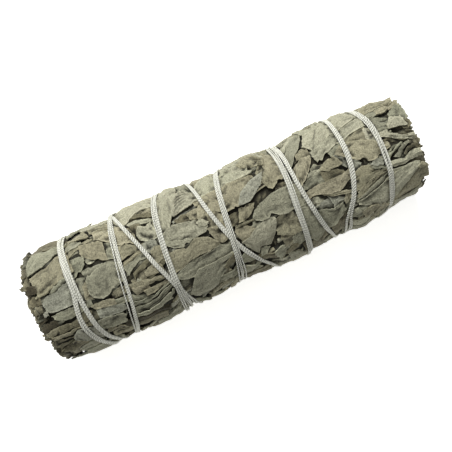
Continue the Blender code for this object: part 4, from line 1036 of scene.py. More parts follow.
@dataclass(frozen=True)
class LeafPlan:
    """Which leaves the stick has: those that the photo shows, and those under, beside and behind them."""

    form: BundleForm
    view: PhotoView
    shown: str = SHOWN_LEAVES
    tones: tuple[float, ...] = (0.36, 0.20, 0.22, 0.06, 0.12, 0.04)
    # Inner leaves draw browner tones, partly real and partly standing in for painted shade deep in the
    # bundle.
    dark_tones: tuple[float, ...] = (0.20, 0.02, 0.30, 0.10, 0.06, 0.32)
    butt_mm: Range = (-49.9, -48.2)
    tip_mm: Range = (50.5, 52.5)
    ridges_mm: Range = (-46.0, 47.0)
    scraps_mm: Range = (-48.0, 50.0)
    first_mm: float = -47.0
    run_mm: float = 96.0
    stretched: Pair = (0.955, 1.045)
    corner_shares: tuple[Range, ...] = ((0.12, 0.3), (0.4, 0.6), (0.7, 0.88))
    full_width: Range = (0.28, 0.7)
    uneven: Range = (0.78, 1.15)
    bend: float = 0.05
    jitter_mm: float = 2.5
    jitter_turn: float = 7.0
    flank_turns: Pair = (90.0, 270.0)
    flank_leaves: int = 26
    flank_step_mm: float = 3.75
    flank_jitter: float = 14.0

    def front(self) -> list[Leaf]:
        """Return the leaves that the photo shows, the lowest first."""
        leaves = []
        for row in self.shown.strip(" ;\n").split(";"):
            settings, *chains = row.split(":")
            tone, *numbers = settings.split()
            sides = [self.view.on_bundle(chain, self.form) for chain in chains]
            leaves.append(Leaf(*sides, Tone[tone], *(float(number) for number in numbers), shades=0.04))
        return leaves

    def back(self, rng: Rng) -> list[Leaf]:
        """Return leaves for the side that the photo hides.

        They are cut like those of the front, turned end for end: the station changes its sign and the turn
        becomes 180 less itself. The ends are brought to the same length, and the tones are drawn anew.

        Args:
            rng: source of the tones.

        Returns:
            As many leaves as the front has.
        """
        leaves = []
        for leaf in self.front():
            sides = []
            for chain in (leaf.lower, leaf.upper):
                station = -chain[:, 0] * np.where(chain[:, 0] > 0, *self.stretched)
                sides.append(np.stack([station, 180.0 * self.form.mm_per_degree - chain[:, 1]], axis=1)[::-1])
            leaves.append(Leaf(*sides, self.tone(rng), leaf.fold, leaf.pleats, leaf.crumple, leaf.level))
        return leaves

    def tone(self, rng: Rng, dark: bool = False) -> Tone:
        """Draw a leaf's colour: greenish greys mostly, browner among the inner leaves, partly as painted
        shade.
        """
        shares = self.dark_tones if dark else self.tones
        return list(Tone)[rng.choice(len(shares), p=shares)]

    def torn(self, kind: LeafKind, station: float, turn: float, rng: Rng) -> tuple[Array, Array]:
        """Return the two sides of a leaf with angular, unevenly torn outlines.

        Args:
            kind: the ranges of its size and slant.
            station: its middle's, in mm.
            turn: its middle's, in degrees.
            rng: source of the draws.

        Returns:
            The upper and the lower chain of corners.
        """
        angle = math.radians(rng.normal(*kind.slant))
        length, width = rng.uniform(*kind.length_mm), rng.uniform(*kind.width_mm)
        foot, tip = rng.uniform(*kind.end_share, 2)
        shares = np.array([0.0, *(rng.uniform(*share) for share in self.corner_shares), 1.0])
        bend = rng.uniform(-self.bend, self.bend) * length * np.cos((shares - 0.5) * 2.8)
        sides = []
        for sign in (1.0, -1.0):
            half = 0.5 * width * np.interp(shares, [0, *self.full_width, 1], [foot, 1, 1, tip])
            half = half * rng.uniform(*self.uneven, len(shares))
            along = length * (shares - 0.5)
            along[0] -= rng.uniform(-0.3, 0.3) * width * foot
            along[-1] += rng.uniform(-0.45, 0.45) * width * tip
            across = bend + sign * half
            arc = turn * self.form.mm_per_degree - along * math.sin(angle) - across * math.cos(angle)
            place = station + along * math.cos(angle) - across * math.sin(angle)
            sides.append(np.stack([place, arc], axis=1))
        low = min(side[:, 0].min() for side in sides)
        high = max(side[:, 0].max() for side in sides)
        shift = max(0.0, rng.uniform(*self.butt_mm) - low) - max(0.0, high - rng.uniform(*self.tip_mm))
        return sides[0] + [shift, 0.0], sides[1] + [shift, 0.0]

    def drawn(self, kind: LeafKind, station: float, turn: float, rng: Rng) -> Leaf:
        """Return one leaf of a kind with its middle at a station in mm and a turn."""
        sides = self.torn(kind, station, turn, rng)
        tone, fold = self.tone(rng, kind.dark), rng.uniform(*kind.fold)
        return Leaf(*sides, tone, fold, 0.0, kind.crumple, kind.level, kind.pitch, kind.sunk, kind.inner)

    def scattered(self, kind: LeafKind, count: int, stations_mm: Range, rng: Rng) -> list[Leaf]:
        """Return leaves of a kind with their middles anywhere between two stations."""
        return [
            self.drawn(kind, rng.uniform(*stations_mm), rng.uniform(0.0, 360.0), rng) for _ in range(count)
        ]

    def shingled(self, kind: LeafKind, rows: int, columns: int, rng: Rng) -> list[Leaf]:
        """Return a round of leaves of a kind on a jittered grid over the whole bundle.

        Args:
            kind: what the leaves share.
            rows: rounds along the stick.
            columns: leaves in a round.
            rng: source of the draws.

        Returns:
            The leaves, from the butt on.
        """
        leaves = []
        for row in range(rows):
            for column in range(columns):
                station = self.first_mm + self.run_mm * row / (rows - 1)
                station += rng.uniform(-self.jitter_mm, self.jitter_mm)
                turn = (column + 0.5 * (row % 2)) * 360.0 / columns
                turn += rng.uniform(-self.jitter_turn, self.jitter_turn)
                leaves.append(self.drawn(kind, station, turn, rng))
        return leaves

    def flanks(self, rng: Rng) -> list[Leaf]:
        """Return leaves along the two sides, where the front's and the back's leaves meet."""
        leaves = []
        for side in self.flank_turns:
            for step in range(self.flank_leaves):
                turn = side + rng.uniform(-self.flank_jitter, self.flank_jitter)
                leaves.append(self.drawn(FLANK, self.first_mm + self.flank_step_mm * step, turn, rng))
        return leaves

    def leaves(self, rng: Rng) -> list[Leaf]:
        """Return all leaves, from the core outwards.

        Args:
            rng: source of the draws.

        Returns:
            The leaves in the order that they are laid in.
        """
        return [
            *self.shingled(DEEP, 13, 16, rng),
            *self.shingled(BEHIND, 16, 19, rng),
            *self.scattered(RIDGE, 280, self.ridges_mm, rng),
            *self.scattered(SCRAP, 160, self.scraps_mm, rng),
            *self.flanks(rng),
            *self.back(rng),
            *self.front(),
        ]


@dataclass(frozen=True)
class CutEnd:
    """One end of the bundle: the cut edges of packed leaves, wound round the axis with gaps between."""

    form: BundleForm
    outward: float
    face_mm: float
    rings_mm: tuple[float, ...]
    reach_mm: float
    ragged_mm: float
    trimmed_mm: float = 0.0
    thickness_mm: float = 0.36
    points: int = 15
    spacing_mm: float = 3.7
    length_mm: Range = (1.8, 5.0)
    curled_within_mm: float = 11.0
    curled_share: float = 0.22
    curl_angle: Range = (6.0, 9.0)
    curl_mm: Range = (0.7, 1.1)
    wave_mm: Range = (0.15, 0.5)
    wave_angle: Range = (3.0, 9.0)
    slant_mm: Range = (-0.5, 0.5)
    lean_mm: Range = (-0.25, 0.35)
    shade: Range = (0.45, 1.0)
    depths: tuple[float, ...] = (0.0, 0.35, 0.75, 1.0)
    under_envelope: float = 0.00015
    above_floor: float = 0.00005

    def end_station(self, radius_mm: Array) -> Array:
        """Return the outermost station at a radius: the profile read the other way round, in mm."""
        stations, radii = np.array(self.form.envelope_mm).T
        outer = stations < -48 if self.outward < 0 else stations > 46
        order = np.argsort(radii[outer])
        found = np.interp(radius_mm, radii[outer][order], stations[outer][order])
        return found - self.outward * self.trimmed_mm

    def line(self, ring: float, rng: Rng) -> tuple[Array, Array]:
        """Return a cut edge in the plane of the cut: places sideways and outwards, and its run, in mm.

        It is an arc round the axis with a wave on it, or, for a curled leaf, a spiral.

        Args:
            ring: its distance from the axis in mm.
            rng: source of the draws.

        Returns:
            The places and the run.
        """
        along = np.linspace(-0.5, 0.5, self.points)
        length = rng.uniform(*self.length_mm)
        if ring < self.curled_within_mm and rng.uniform() < self.curled_share:
            angle = along * rng.uniform(*self.curl_angle) + rng.uniform(*ANY_PHASE)
            size = rng.uniform(*self.curl_mm) * (1 + 0.7 * along)
            flat = np.stack([size * np.cos(angle), ring + size * np.sin(angle)], axis=1)
        else:
            height = rng.uniform(*self.wave_mm)
            wave = height * np.sin(along * rng.uniform(*self.wave_angle) + rng.uniform(*ANY_PHASE))
            flat = np.stack([along * length, ring + wave + rng.uniform(*self.slant_mm) * along * 2], axis=1)
        return flat, along * length

    def edge(self, flat: Array, run_share: Array, rng: Rng) -> Array:
        """Return the station of each place of a cut edge, in mm: the end's, sunk a little, and ragged."""
        level = -abs(rng.normal(0.0, 0.6)) * self.reach_mm * 0.5
        waves = 0.6 * np.sin(run_share * rng.uniform(4, 12) + rng.uniform(*ANY_PHASE))
        rough = self.ragged_mm * (waves + rng.uniform(-0.35, 0.35, self.points))
        return self.end_station(np.hypot(*flat.T)) + self.outward * (level + rough)

    def strip(self, ring: float, turn: float, rng: Rng) -> Shell:
        """Return one cut leaf edge, which runs back along the axis from its ragged end.

        Args:
            ring: its distance from the axis in mm.
            turn: its middle's turn in degrees.
            rng: source of the draws.

        Returns:
            Its closed shell.
        """
        flat, run = self.line(ring, rng)
        ahead = np.gradient(flat, axis=0)
        ahead /= np.linalg.norm(ahead, axis=1, keepdims=True)
        side = np.stack([-ahead[:, 1], ahead[:, 0]], axis=1) * self.thickness_mm / 2
        edge = self.edge(flat, np.linspace(-0.5, 0.5, self.points), rng)
        depth = np.array(self.depths)[:, None]
        station = (self.face_mm + (edge[None, :] - self.face_mm) * depth) * MM
        lean = (rng.uniform(*self.lean_mm) * depth)[..., None] * np.array([0.0, 1.0])
        sides = []
        for sign in (1.0, -1.0):
            sideways, outwards = np.moveaxis((flat + sign * side)[None] + lean, -1, 0)
            around = turn + np.degrees(np.arctan2(sideways, outwards))
            radius = np.hypot(sideways, outwards) * MM
            radius = np.minimum(radius, self.form.envelope(station) - self.under_envelope)
            radius = self.form.off_floor(station, around, radius, self.above_floor)
            sides.append(self.form.place(station, around, radius).reshape(-1, 3))
        points = np.concatenate(sides)
        tone = rng.choice([Tone.BROWN, Tone.KHAKI, Tone.TAN, Tone.GREY_GREEN], p=[0.5, 0.25, 0.1, 0.15])
        tint = linear(tone.value) * rng.uniform(*self.shade)
        each = partial(np.repeat, repeats=self.points)
        draw = np.full(station.shape, rng.uniform(0, 50))
        place = np.stack([station / MM, np.tile(run, (len(depth), 1)), draw], axis=-1)
        # Painted highlight on the cut edge itself, and painted shade that deepens towards the packed leaves
        # inside.
        values = {
            "leaf_tint": np.tile(tint, (len(points), 1)),
            "leaf_painted_highlight_rim": np.tile(each(np.clip(depth[:, 0] * 4 - 3, 0, 1)), 2),
            "leaf_painted_shade": np.tile(each(0.75 * (1 - depth[:, 0]) + 0.08), 2),
            "leaf_place": np.tile(place.reshape(-1, 3), (2, 1)),
        }
        return Shell(points, [shell_faces(len(depth), self.points)], values)

    def shells(self, rng: Rng) -> list[tuple[int, Shell]]:
        """Return every cut edge of this end with the number of the stem that it belongs to."""
        found = []
        for ring in self.rings_mm:
            count = max(3, round(FULL * ring / self.spacing_mm))
            for number in range(count):
                turn = (number + rng.uniform(-0.3, 0.3)) * 360.0 / count
                shell = self.strip(ring + rng.uniform(-0.35, 0.35), turn, rng)
                found.append((self.form.stem_at(turn), shell))
        return found


@dataclass(frozen=True)
class LeafyStems:
    """The six bodies of packed leaves."""

    form: BundleForm
    plan: LeafPlan
    seed: int = 7
    core_ends: Pair = (-0.0496, 0.0500)
    core_rings: int = 24
    core_sides: int = 9
    butt_rings_mm: tuple[float, ...] = (1.2, 2.4, 3.6, 4.8, 6.0, 7.2, 8.4, 9.6, 10.7, 11.7, 12.6, 13.5, 14.3)
    tip_rings_mm: tuple[float, ...] = (1.5, 3.0, 4.5, 6.0, 7.4, 8.8, 10.2, 11.5)
    # Reach in cells and depth scale of the painted shade in narrow gaps and in wide hollows.
    gap_cells: int = 3
    gap_depth: float = 0.00032
    hollow_cells: int = 6
    hollow_depth: float = 0.0010

    def core(self, index: int) -> Shell:
        """Return one stem's packed inside: a sector of the core, lofted along the axis, with flat ends.

        Args:
            index: the stem's number, from 0.

        Returns:
            Its closed shell.
        """
        half = 180.0 / self.form.stems
        stations = np.linspace(*self.core_ends, self.core_rings)
        turns = index * 2 * half + np.linspace(-half, half, self.core_sides)
        radii = self.form.envelope(stations) - self.form.leaf_layers
        rim = self.form.place(stations[:, None], turns[None, :], radii[:, None])
        axis = self.form.place(stations, index * 2 * half, 0.00005)[:, None, :]
        points = np.concatenate([axis, rim], axis=1)[:, ::-1].reshape(-1, 3)
        # The packed core gets a darkened brown and full painted shade, so it reads near black, as deep shade
        # would.
        values = {
            "leaf_tint": np.tile(linear(Tone.BROWN.value) * 0.7, (len(points), 1)),
            "leaf_painted_highlight_rim": np.zeros(len(points)),
            "leaf_painted_shade": np.ones(len(points)),
            "leaf_place": points / MM,
        }
        return Shell(points, tube_faces(self.core_rings, self.core_sides + 1), values)

    def build(self, surface: LaidSurface, material: bpy.types.Material) -> list[bpy.types.Object]:
        """Lay every leaf, from the core outwards, and join each stem's own in one mesh.

        A point's painted shade value, which darkens it as the shade in a gap would, comes from how far it
        lies below the mean of what is laid within 0.75 mm of it and within 1.5 mm of it, with more for inner
        leaves.

        Args:
            surface: what is laid already. It is raised by every leaf.
            material: the leaves' finish.

        Returns:
            The six pieces, in the order of the nodes that they replace.
        """
        rng = np.random.default_rng(self.seed)
        sheet = LeafSheet(self.form)
        shells = [[self.core(index)] for index in range(self.form.stems)]
        butt = CutEnd(
            self.form, -1.0, -48.0, self.butt_rings_mm, reach_mm=1.6, ragged_mm=0.45, trimmed_mm=1.7
        )
        tip = CutEnd(self.form, 1.0, 48.0, self.tip_rings_mm, reach_mm=3.4, ragged_mm=0.6)
        for end in (butt, tip):
            for index, shell in end.shells(rng):
                shells[index].append(shell)
        laid = [sheet.drape(leaf, surface, rng) for leaf in self.plan.leaves(rng)]
        # Painted shade: the deeper a point lies among what is laid round it, and the further inside its leaf,
        # the darker.
        near, wide = surface.hollow(self.gap_cells), surface.hollow(self.hollow_cells)
        for leaf in laid:
            place = (leaf.station, leaf.turn, leaf.radius)
            gap = np.clip(near(*place) / self.gap_depth, 0, 1)
            depth = gap + 0.5 * np.clip(wide(*place) / self.hollow_depth, 0, 1) + leaf.inner
            leaf.shell.values["leaf_painted_shade"] = np.tile(np.clip(depth, 0, 1).ravel(), 2)
            shells[leaf.stem].append(leaf.shell)
        pieces = []
        for index, group in enumerate(shells):
            piece = Shell.joined(group).to_object(f"sage_leaves_{index + 1}", material)
            LOG.info("%s: %d leaves, %d faces", piece.name, len(group) - 1, len(piece.data.polygons))
            pieces.append(piece)
        return pieces


@dataclass(frozen=True)
class WoodyStem:
    """A dry woody stem inside one leafy stem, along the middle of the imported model's own."""

    sides: int = 24
    rings: int = 60
    knots: int = 8
    knot_reach: float = 0.003
    swell_reach: float = 0.0015
    ragged_end: Range = (0.0, 0.0003)

    def build(
        self, name: str, node: bpy.types.Object, seed: int, material: bpy.types.Material
    ) -> bpy.types.Object:
        """Return the stem: a tapering tube whose radius swells and dips with its bark and knots.

        Args:
            name: the piece's name.
            node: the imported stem, whose rings of points give the path and the thickness.
            seed: seed of its own draws.
            material: the bark's finish.

        Returns:
            The new piece.
        """
        rng = np.random.default_rng(seed)
        found = np.array([vertex.co for vertex in node.data.vertices])
        low, high = found[:, 0].min(), found[:, 0].max()
        knots = np.linspace(low, high, self.knots)
        near = [found[np.abs(found[:, 0] - knot) < self.knot_reach] for knot in knots]
        middles = np.array([points.mean(axis=0) for points in near])
        spans = np.array([np.ptp(points[:, 1:], axis=0).mean() / 2 for points in near])
        x = np.linspace(low, high, self.rings)
        path = np.stack([x, np.interp(x, knots, middles[:, 1]), np.interp(x, knots, middles[:, 2])], axis=1)
        angle = np.arange(self.sides) / self.sides * FULL
        ridges = 0.05 * np.sin(angle * 7 + rng.uniform(0, 6)) + 0.04 * np.sin(angle * 3 + rng.uniform(0, 6))
        swell = 0.08 * np.exp(-(((x - rng.uniform(low, high)) / self.swell_reach) ** 2))
        rough = rng.normal(0.0, 0.012, (self.rings, self.sides))
        radius = (np.interp(x, knots, spans) * 0.98)[:, None] * (1 + ridges + swell[:, None] + rough)
        rings = tube_points(path, radius, self.sides, np.tile([0.0, 0.0, 1.0], (self.rings, 1)))
        rings[0, :, 0] += rng.uniform(*self.ragged_end, self.sides)
        points = rings.reshape(-1, 3)
        shell = Shell(points, tube_faces(self.rings, self.sides), {"wood_place": points / MM})
        return shell.to_object(name, material)


@dataclass(frozen=True)
class Knot:
    """The knot's place and the sizes of its loop and of the thread's tails."""

    station: float = -0.0338
    loop: float = 0.00036
    loop_points: int = 61
    loop_strand: float = 0.00026
    lifted: float = 0.00045
    tails: tuple[Pair, ...] = ((1.0, 5.5), (-1.0, 4.5))
    tail_points: int = 22
    tail_strand: float = 0.00022
    tail_turn: float = 14.0
    tail_rest: float = 0.00035
    tail_lift: float = 0.0012


@dataclass(frozen=True)
class BindingThread:
    """One cotton thread of parallel strands, wound out along the stick and back, and knotted.

    The spacing has the gap between strands from each turn on. A split has its turn, its reach in degrees, how
    many strands lie on its first side, and how far it parts them in mm.
    """

    form: BundleForm
    route: ThreadRoute
    tied: Knot = Knot()
    strands: int = 4
    strand_mm: float = 0.175
    strand_draw: float = 0.56
    pressed_in: float = 0.8
    above_floor: float = 0.00005
    groove_half: float = 0.00015
    spacing_mm: tuple[Pair, ...] = (
        (-135.0, 0.31), (60.0, 0.31), (300.0, 0.21), (460.0, 0.24), (600.0, 0.17), (640.0, 0.17),
        (700.0, 0.25), (1260.0, 0.24), (1380.0, 0.37), (1560.0, 0.37), (1720.0, 0.24), (1800.0, 0.33),
        (1890.0, 0.33), (2000.0, 0.36), (2700.0, 0.37), (3200.0, 0.33), (3500.0, 0.3), (3825.0, 0.3),
    )  # fmt: skip
    splits: tuple[tuple[float, float, int, float], ...] = (
        (440.0, 34.0, 2, 1.5), (448.0, 22.0, 3, 1.0), (442.0, 26.0, 1, 0.6), (770.0, 24.0, 2, 0.25),
        (1858.0, 20.0, 2, 0.6), (1446.0, 14.0, 2, 0.2), (2238.0, 18.0, 2, 0.3), (2578.0, 22.0, 1, 0.5),
        (2590.0, 24.0, 3, 0.45), (2950.0, 24.0, 1, 0.3), (2952.0, 28.0, 2, 0.75), (3256.0, 42.0, 1, 0.5),
        (3645.0, 18.0, 2, 0.2),
    )  # fmt: skip
    hidden_splits: int = 10
    wave_mm: float = 0.035
    wave_turns: Pair = (95.0, 210.0)
    sides: int = 8
    seed: int = 3
    pulls: int = 500

    def offsets(self, turns: Array, rng: Rng) -> Array:
        """Return each strand's place across the band, in metres.

        The strands lie side by side at the spacing there, with slow waves. Each split moves the strands on
        its two sides apart by a bell curve round its turn. The hidden side has a few drawn ones of its own.

        Args:
            turns: turns along the thread.
            rng: source of the draws.

        Returns:
            One row for each strand.
        """
        spacing = np.interp(turns, *np.array(self.spacing_mm).T)
        found = (np.arange(self.strands) - (self.strands - 1) / 2)[:, None] * spacing[None, :]
        for strand in range(self.strands):
            for length in self.wave_turns:
                found[strand] += self.wave_mm * np.sin(turns / length * FULL + rng.uniform(*ANY_PHASE))
        hidden = [
            (180.0 + 360.0 * number, 40.0, rng.integers(1, self.strands), rng.uniform(0.1, 0.6))
            for number in range(self.hidden_splits)
        ]
        for centre, reach, cut, apart_mm in self.splits + tuple(hidden):
            apart = apart_mm * np.exp(-(((turns - centre) / reach) ** 2))
            found[:cut] -= apart * 0.5
            found[cut:] += apart * 0.5
        return found * MM

    def tauten(self, rest: Array) -> Array:
        """Return the radii of a pulled strand kept above rest: straight between the high places.

        Args:
            rest: the least radius of each strand at each turn.

        Returns:
            The radii.
        """
        radii = rest.copy()
        chord = math.cos(math.radians(self.route.step))
        for _ in range(self.pulls):
            radii[:, 1:-1] = np.maximum(rest[:, 1:-1], 0.5 * (radii[:, :-2] + radii[:, 2:]) * chord)
        return radii

    def pass_radii(self, surface: LaidSurface, stations: Array, turns: Array) -> Array:
        """Return the radii of one pass of all strands over what is laid, and lay them.

        Args:
            surface: what is laid already. It is raised by the strands.
            stations: one row for each strand.
            turns: turns along the pass.

        Returns:
            One row for each strand.
        """
        radius = self.strand_mm * MM
        around = np.repeat(turns[None, :], self.strands, axis=0)
        rest = surface.highest(stations, around) + radius * self.pressed_in
        radii = self.form.off_floor(stations, around, self.tauten(rest), radius + self.above_floor)
        for strand in range(self.strands):
            line = np.stack([stations[strand] + step * self.groove_half for step in (-1, 0, 1)])
            surface.lay(line, np.tile(turns, (3, 1)), np.tile(radii[strand] + radius, (3, 1)))
        return radii

    def strand_shell(self, centres: Array, outward: Array, radius: float, draw: float) -> Shell:
        """Return one strand as a tube, with its length so far in mm, its share round and its own draw.

        Args:
            centres: points along its middle.
            outward: direction away from the bundle at each.
            radius: its own radius.
            draw: how far its twist is shifted.

        Returns:
            Its closed shell.
        """
        rings = tube_points(centres, np.full(len(centres), radius), self.sides, outward)
        run = np.concatenate([[0.0], np.cumsum(np.linalg.norm(np.diff(centres, axis=0), axis=1))]) / MM
        share = np.arange(self.sides) / self.sides
        place = np.stack(np.broadcast_arrays(run[:, None], share[None, :], draw), axis=-1)
        values = {"strand_place": place.reshape(-1, 3)}
        return Shell(rings.reshape(-1, 3), tube_faces(len(centres), self.sides), values)

    def laid_strand(self, stations: Array, turns: Array, radii: Array, radius: float, draw: float) -> Shell:
        """Return one strand that lies round the bundle's axis."""
        centres = self.form.place(stations, turns, radii)
        inner = self.form.place(stations, turns, radii * 0.5)
        return self.strand_shell(centres, centres - inner, radius, draw)

    def knot(self, surface: LaidSurface, rng: Rng) -> list[Shell]:
        """Return the knot on the back and its tails.

        The knot is a trefoil: x = sin a + 2 sin 2a, y = cos a - 2 cos 2a, z = -1.3 sin 3a, drawn in the plane
        of the bundle's side. The tails lie on the leaves and lift at their ends.

        Args:
            surface: what is laid already.
            rng: source of the draws.

        Returns:
            The loop's shell and the tails'.
        """
        tied, turn = self.tied, self.route.stops_mm[0][0]
        top = float(surface.highest(np.array([[tied.station]]), np.array([[turn]]), 4)[0, 0])
        middle = self.form.place(tied.station, turn, top + tied.lifted)
        out = self.form.place(tied.station, turn, top + 0.001) - middle
        out = out / np.linalg.norm(out)
        side = np.cross(out, [1.0, 0.0, 0.0])
        a = np.linspace(0, FULL, tied.loop_points)
        x = np.sin(a) + 2 * np.sin(2 * a)
        y = np.cos(a) - 2 * np.cos(2 * a)
        loop = np.stack([x, y, -1.3 * np.sin(3 * a)], axis=1)
        centres = middle + tied.loop * loop @ np.stack([[1.0, 0.0, 0.0], side, out])
        shells = [self.strand_shell(centres, np.tile(out + 0.01, (len(a), 1)), tied.loop_strand, 0.5)]
        share = np.linspace(0, 1, tied.tail_points)
        for way, length_mm in tied.tails:
            for strand in range(2):
                stations = tied.station + (0.2 * strand + way * share * length_mm * 0.8) * MM
                turns = turn - way * share * tied.tail_turn + 4.0 * np.sin(share * 3 + strand)
                radii = surface.highest(stations[None], turns[None], 2)[0] + tied.tail_rest
                radii = eased(radii + tied.tail_lift * share**3, 6)
                radii = self.form.off_floor(stations, turns, radii, 0.0003)
                shells.append(self.laid_strand(stations, turns, radii, tied.tail_strand, rng.uniform()))
        return shells

    def build(self, surface: LaidSurface, material: bpy.types.Material) -> bpy.types.Object:
        """Wind the thread over the laid leaves and return it as one piece.

        Args:
            surface: the laid leaves. It is raised by the thread.
            material: the cotton's finish.

        Returns:
            The new piece.
        """
        rng = np.random.default_rng(self.seed)
        turns = self.route.turns()
        stations = self.route.stations(turns)[None, :] + self.offsets(turns, rng)
        back = int(np.searchsorted(turns, self.route.back)) + 1
        out = self.pass_radii(surface, stations[:, :back], turns[:back])
        home = self.pass_radii(surface, stations[:, back:], turns[back:])
        radii = eased(np.concatenate([out, home], axis=1), 2)
        size = self.strand_mm * MM
        shells = [
            self.laid_strand(stations[strand], turns, radii[strand], size, self.strand_draw * strand)
            for strand in range(self.strands)
        ]
        piece = Shell.joined(shells + self.knot(surface, rng)).to_object("cotton_thread", material)
        run = np.linalg.norm(np.diff(self.form.place(stations[1], turns, radii[1]), axis=0), axis=1).sum()
        LOG.info("%s: %.0f mm along its route, %d faces", piece.name, run / MM, len(piece.data.polygons))
        return piece


@dataclass(frozen=True)
class Finish:
    """A material made of nodes on one shader."""

    name: str

    def start(self) -> tuple[bpy.types.Material, Callable[..., bpy.types.NodeSocket], bpy.types.Node]:
        """Return a new material, the add-node helper for its tree, and its shader."""
        material = bpy.data.materials.new(self.name)
        material.use_nodes = True
        tree = material.node_tree
        return material, partial(add_node, tree), tree.nodes["Principled BSDF"]


@dataclass(frozen=True)
class FeltedLeafFinish(Finish):
    """Dried white sage leaf: a matt felt of short hairs, mottled, with a painted rim highlight and painted
    shade.
    """

    name: str = "dried_sage_leaf_felted"
    grain_mm: float = 0.34
    pebble_mm: float = 0.85
    mottle_mm: float = 2.2
    streak_mm: float = 0.75
    fleck_mm: float = 0.55
    along_leaf: tuple[float, float, float] = (0.30, 1.0, 1.0)

    def build(self) -> bpy.types.Material:
        """Return the material: each leaf's own tint, mottled and grained, with sheen.

        Painted shade darkens it deep down, and a painted highlight lightens its rim.
        """
        material, add, shader = self.start()
        tint = add("Attribute", out="Color", attribute_name="leaf_tint")
        # The painted rim highlight and the painted shade of gaps come in as point attributes.
        rim = add("Attribute", out="Fac", attribute_name="leaf_painted_highlight_rim")
        depth = add("Attribute", out="Fac", attribute_name="leaf_painted_shade")
        place = add("Attribute", out="Vector", attribute_name="leaf_place")
        drawn_out = add("VectorMath", {0: place, 1: self.along_leaf}, operation="MULTIPLY")
        coarse = {"Vector": drawn_out, "Scale": 1 / self.mottle_mm, "Detail": 5.0, "Roughness": 0.72}
        fine = {"Vector": place, "Scale": 1 / self.grain_mm, "Detail": 2.0, "Roughness": 0.7}
        mottle, grain = add("TexNoise", coarse), add("TexNoise", fine)
        streaks = add("TexNoise", {"Vector": drawn_out, "Scale": 1 / self.streak_mm, "Detail": 2.0})
        fleck = add("TexNoise", {"Vector": place, "Scale": 1 / self.fleck_mm, "Detail": 0.0})
        pebble = {"Vector": place, "Scale": 1 / self.pebble_mm, "Smoothness": 0.6}
        pebbles = add("TexVoronoi", pebble, feature="SMOOTH_F1")
        # Mottles and hairs lighten and darken the tint and a few specks darken it. Painted shade darkens
        # every gap and hollow, down to a tenth, and a painted highlight lightens the rim: the eye reads soft,
        # dusty leaves one over another.
        value = add("MapRange", {0: mottle, 1: 0.3, 2: 0.7, 3: 0.85, 4: 1.12})
        for source, low, high, first, last in (
            (grain, 0.34, 0.66, 0.64, 1.28),
            (fleck, 0.70, 0.78, 1.0, 0.60),
            (depth, 0.08, 1.0, 1.0, 0.10),
            (rim, 0.0, 1.0, 1.0, 1.22),
        ):
            factor = add("MapRange", {0: source, 1: low, 2: high, 3: first, 4: last})
            value = add("Math", {0: value, 1: factor}, operation="MULTIPLY")
        colour = add("VectorMath", {0: tint, "Scale": value}, operation="SCALE")
        normal = add("Bump", {"Height": grain, "Strength": 0.75, "Distance": 0.00012})
        for height, strength, distance in (
            (pebbles, 0.50, 0.00022),
            (streaks, 0.55, 0.00040),
            (mottle, 0.55, 0.0010),
        ):
            relief = {"Height": height, "Strength": strength, "Distance": distance, "Normal": normal}
            normal = add("Bump", relief)
        # Felt scatters light: no highlight, and a faint pale glow where a leaf turns away.
        look = {
            "Base Color": colour,
            "Normal": normal,
            "Roughness": 0.93,
            "Specular IOR Level": 0.25,
            "Sheen Weight": 0.22,
            "Sheen Roughness": 0.55,
            "Sheen Tint": linear_alpha("#dcdac6"),
        }
        feed(shader, look)
        return material


@dataclass(frozen=True)
class CottonFinish(Finish):
    """Unbleached twisted cotton: off-white, with the twist's slanting grooves darkened by painted shade."""

    name: str = "unbleached_cotton_thread"
    twist_mm: float = 0.68
    turns_round: float = -1.7

    def build(self) -> bpy.types.Material:
        """Return the material: slanting bands, one for each twist along the strand, with painted shade
        between.
        """
        material, add, shader = self.start()
        place = add("Attribute", out="Vector", attribute_name="strand_place")
        along, round_share, draw = (add("SeparateXYZ", {0: place}, out=axis) for axis in "XYZ")
        twists = add("Math", {0: along, 1: self.twist_mm}, operation="DIVIDE")
        turned = add("Math", {0: round_share, 1: self.turns_round, 2: draw}, operation="MULTIPLY_ADD")
        phase = add("Math", {0: twists, 1: turned}, operation="ADD")
        share = add("Math", {0: phase}, operation="FRACT")
        ridge = add("Math", {0: share, 1: 0.5}, operation="PINGPONG")
        height = add("MapRange", {0: ridge, 1: 0.02, 2: 0.26, 3: 0.0, 4: 1.0})
        groove_painted_shade, yarn = linear_alpha("#686859"), linear_alpha("#f9f9ec")
        colour = add("Mix", {0: height, 6: groove_painted_shade, 7: yarn}, out=2, data_type="RGBA")
        drawn_out = add("VectorMath", {0: place, 1: (0.7, 9.0, 5.0)}, operation="MULTIPLY")
        fibres = add("TexNoise", {"Vector": drawn_out, "Scale": 1.0, "Detail": 3.0})
        shade = add("MapRange", {0: fibres, 1: 0.3, 2: 0.7, 3: 0.88, 4: 1.05})
        # Spun cotton is soft and nearly white on the ridges of its twist; the grey between them is painted
        # shade.
        look = {
            "Base Color": add("VectorMath", {0: colour, "Scale": shade}, operation="SCALE"),
            "Normal": add("Bump", {"Height": height, "Strength": 0.8, "Distance": 0.00012}),
            "Roughness": 0.78,
            "Sheen Weight": 0.2,
            "Sheen Roughness": 0.4,
            "Sheen Tint": linear_alpha("#e4e6d0"),
        }
        feed(shader, look)
        return material


